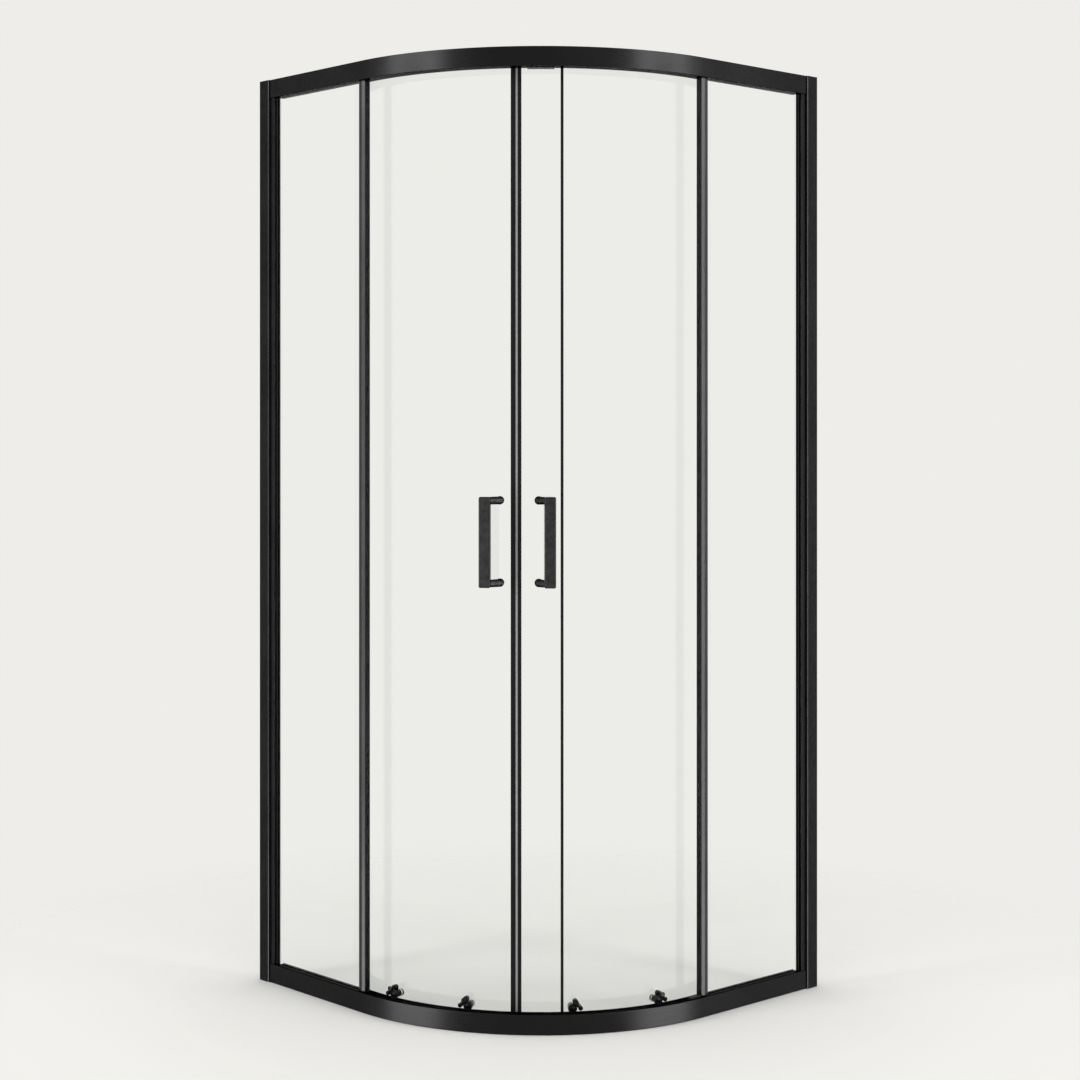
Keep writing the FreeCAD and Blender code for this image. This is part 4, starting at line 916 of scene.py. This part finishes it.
def modelHandle():
    inner, outer = handle["bar"]
    low, high = handle["level"]
    clearSelection()
    bpy.ops.mesh.primitive_cube_add(size=1, location=Vector(((inner + outer) / 2, handle["aside"],
                                                             (low + high) / 2)) * mm,
                                    scale=Vector((outer - inner, handle["wide"], high - low)) * mm)
    bar = bpy.context.object
    bar.name = "handleMaster"
    bpy.ops.object.transform_apply(location=True, rotation=False, scale=True)
    bpy.ops.object.mode_set(mode="EDIT")
    roundEdges(lambda middle, way: abs(way.x) > 0.9, handle["corner"], 6)
    roundEdges(lambda middle, way: near(middle.x, outer), handle["rim"], 7)
    start, radius, deep = handle["foot"]
    tip, wide, tall = handle["legTip"]
    for z in handleLevels:
        leg = rod("leg", radius, start, start + deep, 0, z, handle["legSteps"])
        bpy.ops.object.transform_apply(location=True, rotation=True, scale=True)
        bpy.ops.object.mode_set(mode="EDIT")
        pickFaces(leg, lambda face: face.normal.x > 0.9)
        extrudeBy(tip - start - deep, handle["aside"], 0)
        bpy.ops.transform.resize(value=(1, wide / (2 * radius), tall / (2 * radius)),
                                 center_override=Vector((tip, handle["aside"], z)) * mm)
        bpy.ops.mesh.select_mode(type="VERT")
        combine(bar, leg, "UNION")
    easeEdges(bar, handle["ease"], 2, 50)
    return settle(bar, 40)


master = modelHandle()
washerMaster = settle(turnProfile("washerMaster", handleWasher["profile"]))
screwMaster = settle(turnProfile("screwMaster", handleScrew["profile"]))
fixings = (washerMaster, "Washers", trimPlastic), (screwMaster, "Screws", rollerPlastic)
for side in ("left", "right"):
    angle, flip, door = plan["pair"] + sideSign[side] * handleAngle, side == "left", side + "_door"
    piece = copyTo(master, side + "Handle", arcMatrix(angle, 0, flip))
    fit(piece, side + "_handle", handleMetal, door)
    for source, word, material in fixings:
        pieces = [copyTo(source, "%s%s%d" % (side, word, index), arcMatrix(angle, z, flip))
                  for index, z in enumerate(handleLevels)]
        piece = joinAs("%sHandle%s" % (side, word), pieces)
        fit(piece, "%s_handle_%s" % (side, word.lower()), material, door)
for source in (master, washerMaster, screwMaster):
    bpy.data.objects.remove(source)
print("handles fitted")


# Nodes of the frame that stay as they are

kept = {"left_fixed_glass": glass, "right_fixed_glass": glass, "rail_gaskets": sealRubber,
        "rail_screws": steel, "jamb_screws": steel, "left_magnet_strip": magnetSheenRubber,
        "left_button_springs": sealRubber, "right_button_springs": sealRubber}
for name, material in kept.items():
    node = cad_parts[name]
    node.data.materials.clear()
    node.data.materials.append(material)


# Floor, light and camera

paper = (0.855, 0.847, 0.815)
studio = {"ambient": 0.73, "far": 3.2, "side": {"left": -104, "right": 18},
          "box": (0.7, 2.6, 1.0, 45), "sheen": (1.6, 4.6, 1.3, 180), "fill": (1.6, 4.6, 0.9, 16),
          "top": (3, 3, 4.2, 28), "edge": {"left": (-137.4, 3.3), "right": (43.6, 3.33)}}
ground = {"radius": 4, "below": 0.0005, "rough": 0.9, "fade": (0.75, 1.5)}
camera = {"place": (3.11424, -2.89878, 1.12766), "turn": 47.70874, "lens": 69.23265, "sensor": 36,
          "shift": (0.02508, -0.09981)}

world = bpy.data.worlds.new("studio")
bpy.context.scene.world = world
world.use_nodes = True
tree = world.node_tree
plain = tree.nodes["Background"]
plain.inputs["Color"].default_value = (1, 1, 1, 1)
plain.inputs["Strength"].default_value = studio["ambient"]
shown = tree.nodes.new("ShaderNodeBackground")
shown.inputs["Color"].default_value = (*paper, 1)
rays = tree.nodes.new("ShaderNodeLightPath").outputs
seen = calculate(tree, "MAXIMUM", rays["Is Camera Ray"], rays["Is Glossy Ray"])
seen = calculate(tree, "MAXIMUM", seen, rays["Is Transmission Ray"])
mixInto(tree, "World Output", seen, plain, shown)

clearSelection()
bpy.ops.mesh.primitive_circle_add(vertices=96, radius=ground["radius"], fill_type="NGON",
                                  location=(0, 0, -ground["below"]))
floor = bpy.context.object
floor.name = "floor"
material, tree, shader, place = newMaterial("paperFloor")
shader.inputs["Base Color"].default_value = (*paper, 1)
shader.inputs["Roughness"].default_value = ground["rough"]
shader.inputs["Specular IOR Level"].default_value = 0.0
away = addNode(tree, "ShaderNodeVectorMath", [(0, place)], operation="LENGTH").outputs["Value"]
fade = spread(tree, away, *ground["fade"], 0.0, 1.0)
rays = tree.nodes.new("ShaderNodeLightPath").outputs
gloss = calculate(tree, "SUBTRACT", rays["Is Glossy Ray"], rays["Is Transmission Ray"], True)
fade = calculate(tree, "MAXIMUM", fade, gloss)  # hidden in mirror rays, not in those through glass
mixInto(tree, "Material Output", fade, shader, tree.nodes.new("ShaderNodeBsdfTransparent"))
floor.data.materials.append(material)


def hangLamp(name, turn, far, lamp):  # lamp: width, height, level of its middle, power
    data = bpy.data.lights.new(name, "AREA")
    data.shape = "RECTANGLE"
    data.size, data.size_y, level, data.energy = lamp
    piece = bpy.data.objects.new(name, data)
    bpy.context.scene.collection.objects.link(piece)
    angle = math.radians(turn)
    piece.location = (far * math.cos(angle), far * math.sin(angle), level)
    aim = Vector((0, 0, level if far else 0)) - piece.location
    piece.rotation_euler = aim.to_track_quat("-Z", "Y").to_euler()
    piece.visible_camera = False
    piece.visible_transmission = False
    return piece


def glintOn(name, lamp, pieces):  # a lamp that only makes glints, and only on these pieces
    lamp.visible_diffuse = False
    lamp.light_linking.receiver_collection = bpy.data.collections.new(name)
    for piece in pieces:
        lamp.light_linking.receiver_collection.objects.link(piece)


dark = [o for o in bpy.data.objects
        if o.type == "MESH" and o.data.materials and o.data.materials[0] not in (glass, vinyl)]
farPost = {"left": bpy.data.objects["rightPost"], "right": bpy.data.objects["leftPost"]}
for side, turn in studio["side"].items():
    hangLamp(side + "Box", turn, studio["far"], studio["box"]).visible_glossy = False
    glintOn(side + "Glints", hangLamp(side + "Sheen", turn, studio["far"], studio["sheen"]),
            [piece for piece in dark if piece != farPost[side]])
    glintOn(side + "Fills", hangLamp(side + "Fill", *studio["edge"][side], studio["fill"]), dark)
hangLamp("topBox", 0, 0, studio["top"]).visible_glossy = False

view = bpy.data.cameras.new("view")
view.lens = camera["lens"]
view.sensor_width = camera["sensor"]
view.shift_x, view.shift_y = camera["shift"]
eye = bpy.data.objects.new("view", view)
bpy.context.scene.collection.objects.link(eye)
eye.location = camera["place"]
eye.rotation_euler = (math.pi / 2, 0, math.radians(camera["turn"]))
bpy.context.scene.camera = eye
bpy.context.scene.view_settings.view_transform = "Standard"
print("studio lit")
